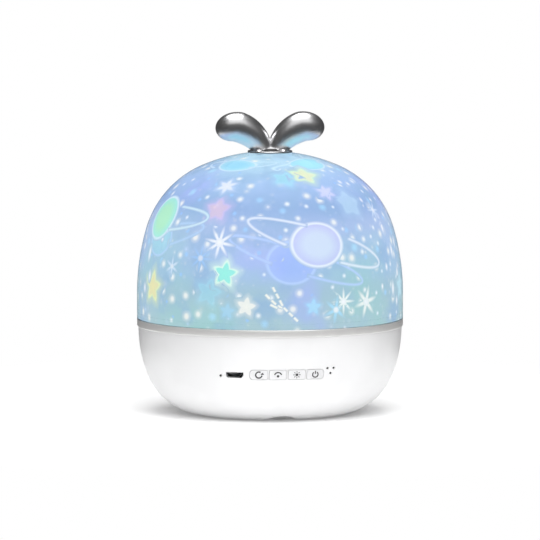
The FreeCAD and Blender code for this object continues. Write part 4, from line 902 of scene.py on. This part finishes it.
for side, name in ((1, "right_leaf"), (-1, "left_leaf")):
    vertices, around = [], leaf["around"]
    for step in range(leaf["along"]):
        share = math.sin(math.pi / 2 * step / leaf["along"])
        for part in range(around):
            vertices.append(leafPlace(share, 2 * math.pi * part / around, side))
    faces = quadRows(leaf["along"] - 1, around)
    tip, root = len(vertices), len(vertices) + 1
    middle = [sum(v[axis] for v in vertices[:around]) / around for axis in range(3)]
    vertices += [leafPlace(1.0, 0.0, side), middle]
    for part in range(around):
        following = (part + 1) % around
        faces += [(root, following, part), (tip - around + part, tip - around + following, tip)]
    # kept off the dome under it; this part lies within the disc
    lowest = (dome["seat"] + leaf["sunk"]) * mm
    vertices = [(x, y, max(z, lowest)) for x, y, z in vertices]
    piece = newObject(name, vertices, faces)
    outward(piece)
    finishPiece(piece, materials["chrome_plate"], "dome")

discEdge = disc["radius"] - disc["round"]
discOutline = [(0.0, dome["seat"])]
discOutline += arcPoints((discEdge, dome["seat"] + disc["round"]), disc["round"], -90, 0, 6)
discOutline += arcPoints((discEdge, dome["seat"] + disc["height"] - disc["round"]), disc["round"], 0, 90, 6)
discOutline.append((0.0, dome["seat"] + disc["height"]))
piece = lathe("handle_disc", discOutline, 96, 50)
finishPiece(piece, materials["chrome_plate"], "dome", ["leaf_handle"])

for side, name in ((1, "right_bead"), (-1, "left_bead")):
    vertices = []
    for row in range(bead["rows"] + 1):
        rise = math.pi / 2 * row / bead["rows"]
        wide, long = bead["halfWidth"] * math.cos(rise), bead["halfLength"] * math.cos(rise)
        z = dome["seat"] + bead["base"] + bead["halfHeight"] * math.sin(rise)
        for column in range(bead["columns"]):
            turn = 2 * math.pi * column / bead["columns"]
            x = side * bead["x"] + wide * math.cos(turn)
            vertices.append((x * mm, long * math.sin(turn) * mm, z * mm))
    faces = quadRows(bead["rows"], bead["columns"])
    faces.append(tuple(range(bead["columns"]))[::-1])
    piece = newObject(name, vertices, faces)
    outward(piece, 1e-7)
    piece.data.set_sharp_from_angle(angle=math.radians(50))
    finishPiece(piece, materials["chrome_plate"], "dome")
print("handle done")


# Key marks

key = {
    "pitch": 8.8, "middle": 23.8, "sideRadius": 64.0, "sideX": -2.1, "top": 41.2, "proud": 0.3,
    "printed": 0.06,
}


def onKey(x, z):
    reach = key["sideRadius"] + key["proud"] + key["printed"]
    radius = key["sideX"] + math.sqrt(reach ** 2 - (key["top"] - z) ** 2)
    return (x * mm, -math.sqrt(radius ** 2 - x ** 2) * mm, z * mm)


class Mark:
    def __init__(self):
        self.vertices, self.faces = [], []

    def stroke(self, points, width):
        count, start = len(points), len(self.vertices)
        for index, (x, z) in enumerate(points):
            before, after = points[max(index - 1, 0)], points[min(index + 1, count - 1)]
            along = Vector((after[0] - before[0], after[1] - before[1])).normalized()
            for offset in (-width / 2, width / 2):
                self.vertices.append(onKey(x - along.y * offset, z + along.x * offset))
        for index in range(count - 1):
            a = start + 2 * index
            self.faces.append((a, a + 1, a + 3, a + 2))

    def filled(self, points):
        start = len(self.vertices)
        self.vertices += [onKey(x, z) for x, z in points]
        self.faces.append(tuple(range(start, start + len(points))))


marks = {name: Mark() for name in ("rotate", "mode", "brightness", "power")}
keyX = {name: key["pitch"] * (index - 1.5) for index, name in enumerate(marks)}
x, z = keyX["rotate"], key["middle"]
marks["rotate"].stroke(arcPoints((x, z), 1.45, 60, 350), 0.62)
marks["rotate"].filled([(x + 0.75, z + 0.1), (x + 2.45, z + 0.1), (x + 1.6, z + 1.15)])
x = keyX["mode"]
marks["mode"].stroke(arcPoints((x, z - 0.5), 1.7, 18, 162), 0.55)
marks["mode"].filled(arcPoints((x, z - 0.6), 0.6)[:-1])
x = keyX["brightness"]
marks["brightness"].filled(arcPoints((x, z), 0.68)[:-1])
for ray in range(8):
    c, s = math.cos(math.radians(45 * ray)), math.sin(math.radians(45 * ray))
    marks["brightness"].stroke([(x + 1.05 * c, z + 1.05 * s), (x + 1.7 * c, z + 1.7 * s)], 0.36)
x = keyX["power"]
marks["power"].stroke(arcPoints((x, z - 0.1), 1.3, 125, 415), 0.56)
marks["power"].stroke([(x, z + 0.2), (x, z + 1.65)], 0.52)
for name, mark in marks.items():
    piece = newObject(name + "_mark", mark.vertices, mark.faces, smooth=False)
    turnTo(piece, lambda middle: Vector((0, -1, 0)))
    finishPiece(piece, materials["key_print"], name + "_button")
print("key marks done")


# Every other CAD part: its own mesh, merged and smoothed, with its finish

nodeFinishes = {
    "white_shell": ["base_shell", "bottom_cover"],
    "white_keys": ["rotate_key", "mode_key", "brightness_key", "power_key"],
    "inner_white": ["deck_plate", "lamp_post", "wire_connectors"],
    "silver_trim": ["trim_ring"],
    "steel": ["cover_screws", "deck_screws", "motor_screws", "post_screws", "board_screws", "handle_screws",
              "motor_shaft"],
    "motor_can": ["gear_motor"],
    "gear_plastic": ["turntable", "drive_pinion"],
    "black_plastic": ["key_switches", "control_chips", "microphone", "rotate_plunger",
                      "mode_plunger", "brightness_plunger", "power_plunger"],
    "circuit_board": ["main_board"],
    "lamp_board": ["led_board"],
    "lamp_chip": ["led_chips"],
    "clear_lens": ["lamp_lens"],
    "soft_rubber": ["microphone_boot"],
    "feet_rubber": ["rubber_feet"],
    "battery_sleeve": ["battery"],
    "wire_cover": ["battery_lead", "motor_lead", "lamp_lead"],
    "light_pipe": ["charge_light"],
}
portFinishes = {"usb_socket": ("port_metal", "steel"), "usb_tongue": ("port_tongue", "black_plastic")}
finishes = [(node, slot, slot) for slot, nodes in nodeFinishes.items() for node in nodes]
finishes += [(node, *finish) for node, finish in portFinishes.items()]
for node, finish, slot in finishes:
    finishPiece(mergedCopy(node), materials[finish], body_of(frame["nodes"][node])[0], [node])
print("parts done")


# Stage, light and camera

cameraPlace = {
    "azimuth": -7.8, "elevation": 5.2, "distance": 3.5, "width": 0.2538, "sensor": 36.0,
    "targetZ": 0.06717,
}
# at: azimuth, elevation and distance; lights: on matt faces; shines: in mirroring ones
softboxes = {
    "key_softbox": {"at": (-3, 44, 2.2), "size": (2.6, 2.1), "power": 47.0, "lights": True, "shines": False},
    "soft_shine": {"at": (2, 46, 2.2), "size": (2.3, 1.5), "power": 10.5, "lights": False, "shines": True},
    "fill_softbox": {"at": (42, 30, 2.4), "size": (1.2, 1.2), "power": 0.5, "lights": True, "shines": True},
    "top_softbox": {"at": (0, 86, 1.9), "size": (1.4, 1.4), "power": 27.0, "lights": True, "shines": True},
}
bright = {"ambient": 0.16, "mirrored": 0.06, "floor": 0.1}
fade = {"from": 0.11, "to": 0.26}  # where the floor gives way to the plain background
target = Vector((0, 0, cameraPlace["targetZ"]))


def fromTarget(azimuth, elevation, distance):
    a, e = math.radians(azimuth), math.radians(elevation)
    return target + distance * Vector((math.sin(a) * math.cos(e), -math.cos(a) * math.cos(e), math.sin(e)))


def aim(holder, place):
    holder.location = place
    holder.rotation_euler = (target - place).to_track_quat("-Z", "Y").to_euler()
    bpy.context.scene.collection.objects.link(holder)


floorMaterial, node = shader("floor_paint", Base_Color=(0.95, 0.95, 0.95, 1.0), Roughness=0.9)
node.inputs["Specular IOR Level"].default_value = 0.0
node.inputs["Emission Color"].default_value = (1, 1, 1, 1)
node.inputs["Emission Strength"].default_value = bright["floor"]
away = addNode(floorMaterial, "ShaderNodeVectorMath", operation="LENGTH")
wire(floorMaterial, objectPlace(floorMaterial), away.inputs[0])
far = span(floorMaterial, away.outputs["Value"], fade["from"], fade["to"], 0.0, 1.0, True)
choice = addNode(floorMaterial, "ShaderNodeMixShader")
wire(floorMaterial, far, choice.inputs[0])
wire(floorMaterial, node.outputs[0], choice.inputs[1])
wire(floorMaterial, addNode(floorMaterial, "ShaderNodeBsdfTransparent").outputs[0], choice.inputs[2])
wire(floorMaterial, choice.outputs[0], floorMaterial.node_tree.nodes["Material Output"].inputs["Surface"])
floor = newObject("floor", [(-1, -1, 0), (1, -1, 0), (1, 1, 0), (-1, 1, 0)], [(0, 1, 2, 3)], smooth=False)
floor.data.materials.append(floorMaterial)

world = bpy.data.worlds.new("surroundings")
bpy.context.scene.world = world
world.use_nodes = True
background = world.node_tree.nodes["Background"]
background.inputs["Color"].default_value = (1, 1, 1, 1)
rays = addNode(world, "ShaderNodeLightPath").outputs
direct = arithmetic(world, "MAXIMUM", rays["Is Camera Ray"], rays["Is Transmission Ray"])
darker = arithmetic(world, "MULTIPLY", rays["Is Glossy Ray"], bright["mirrored"] - bright["ambient"])
plain = arithmetic(world, "ADD", bright["ambient"], darker)
room = arithmetic(world, "MULTIPLY", plain, arithmetic(world, "SUBTRACT", 1.0, direct))
wire(world, arithmetic(world, "ADD", direct, room), background.inputs["Strength"])

for name, look in softboxes.items():
    lamp = bpy.data.lights.new(name, "AREA")
    lamp.shape, lamp.energy = "RECTANGLE", look["power"]
    lamp.size, lamp.size_y = look["size"]
    holder = bpy.data.objects.new(name, lamp)
    holder.visible_diffuse, holder.visible_glossy = look["lights"], look["shines"]
    aim(holder, fromTarget(*look["at"]))

lens = bpy.data.cameras.new("camera")
lens.sensor_width = cameraPlace["sensor"]
lens.lens = cameraPlace["sensor"] * cameraPlace["distance"] / cameraPlace["width"]
lens.clip_start, lens.clip_end = 0.1, 50.0
camera = bpy.data.objects.new("camera", lens)
aim(camera, fromTarget(cameraPlace["azimuth"], cameraPlace["elevation"], cameraPlace["distance"]))
bpy.context.scene.camera = camera
bpy.context.scene.view_settings.view_transform = "Standard"
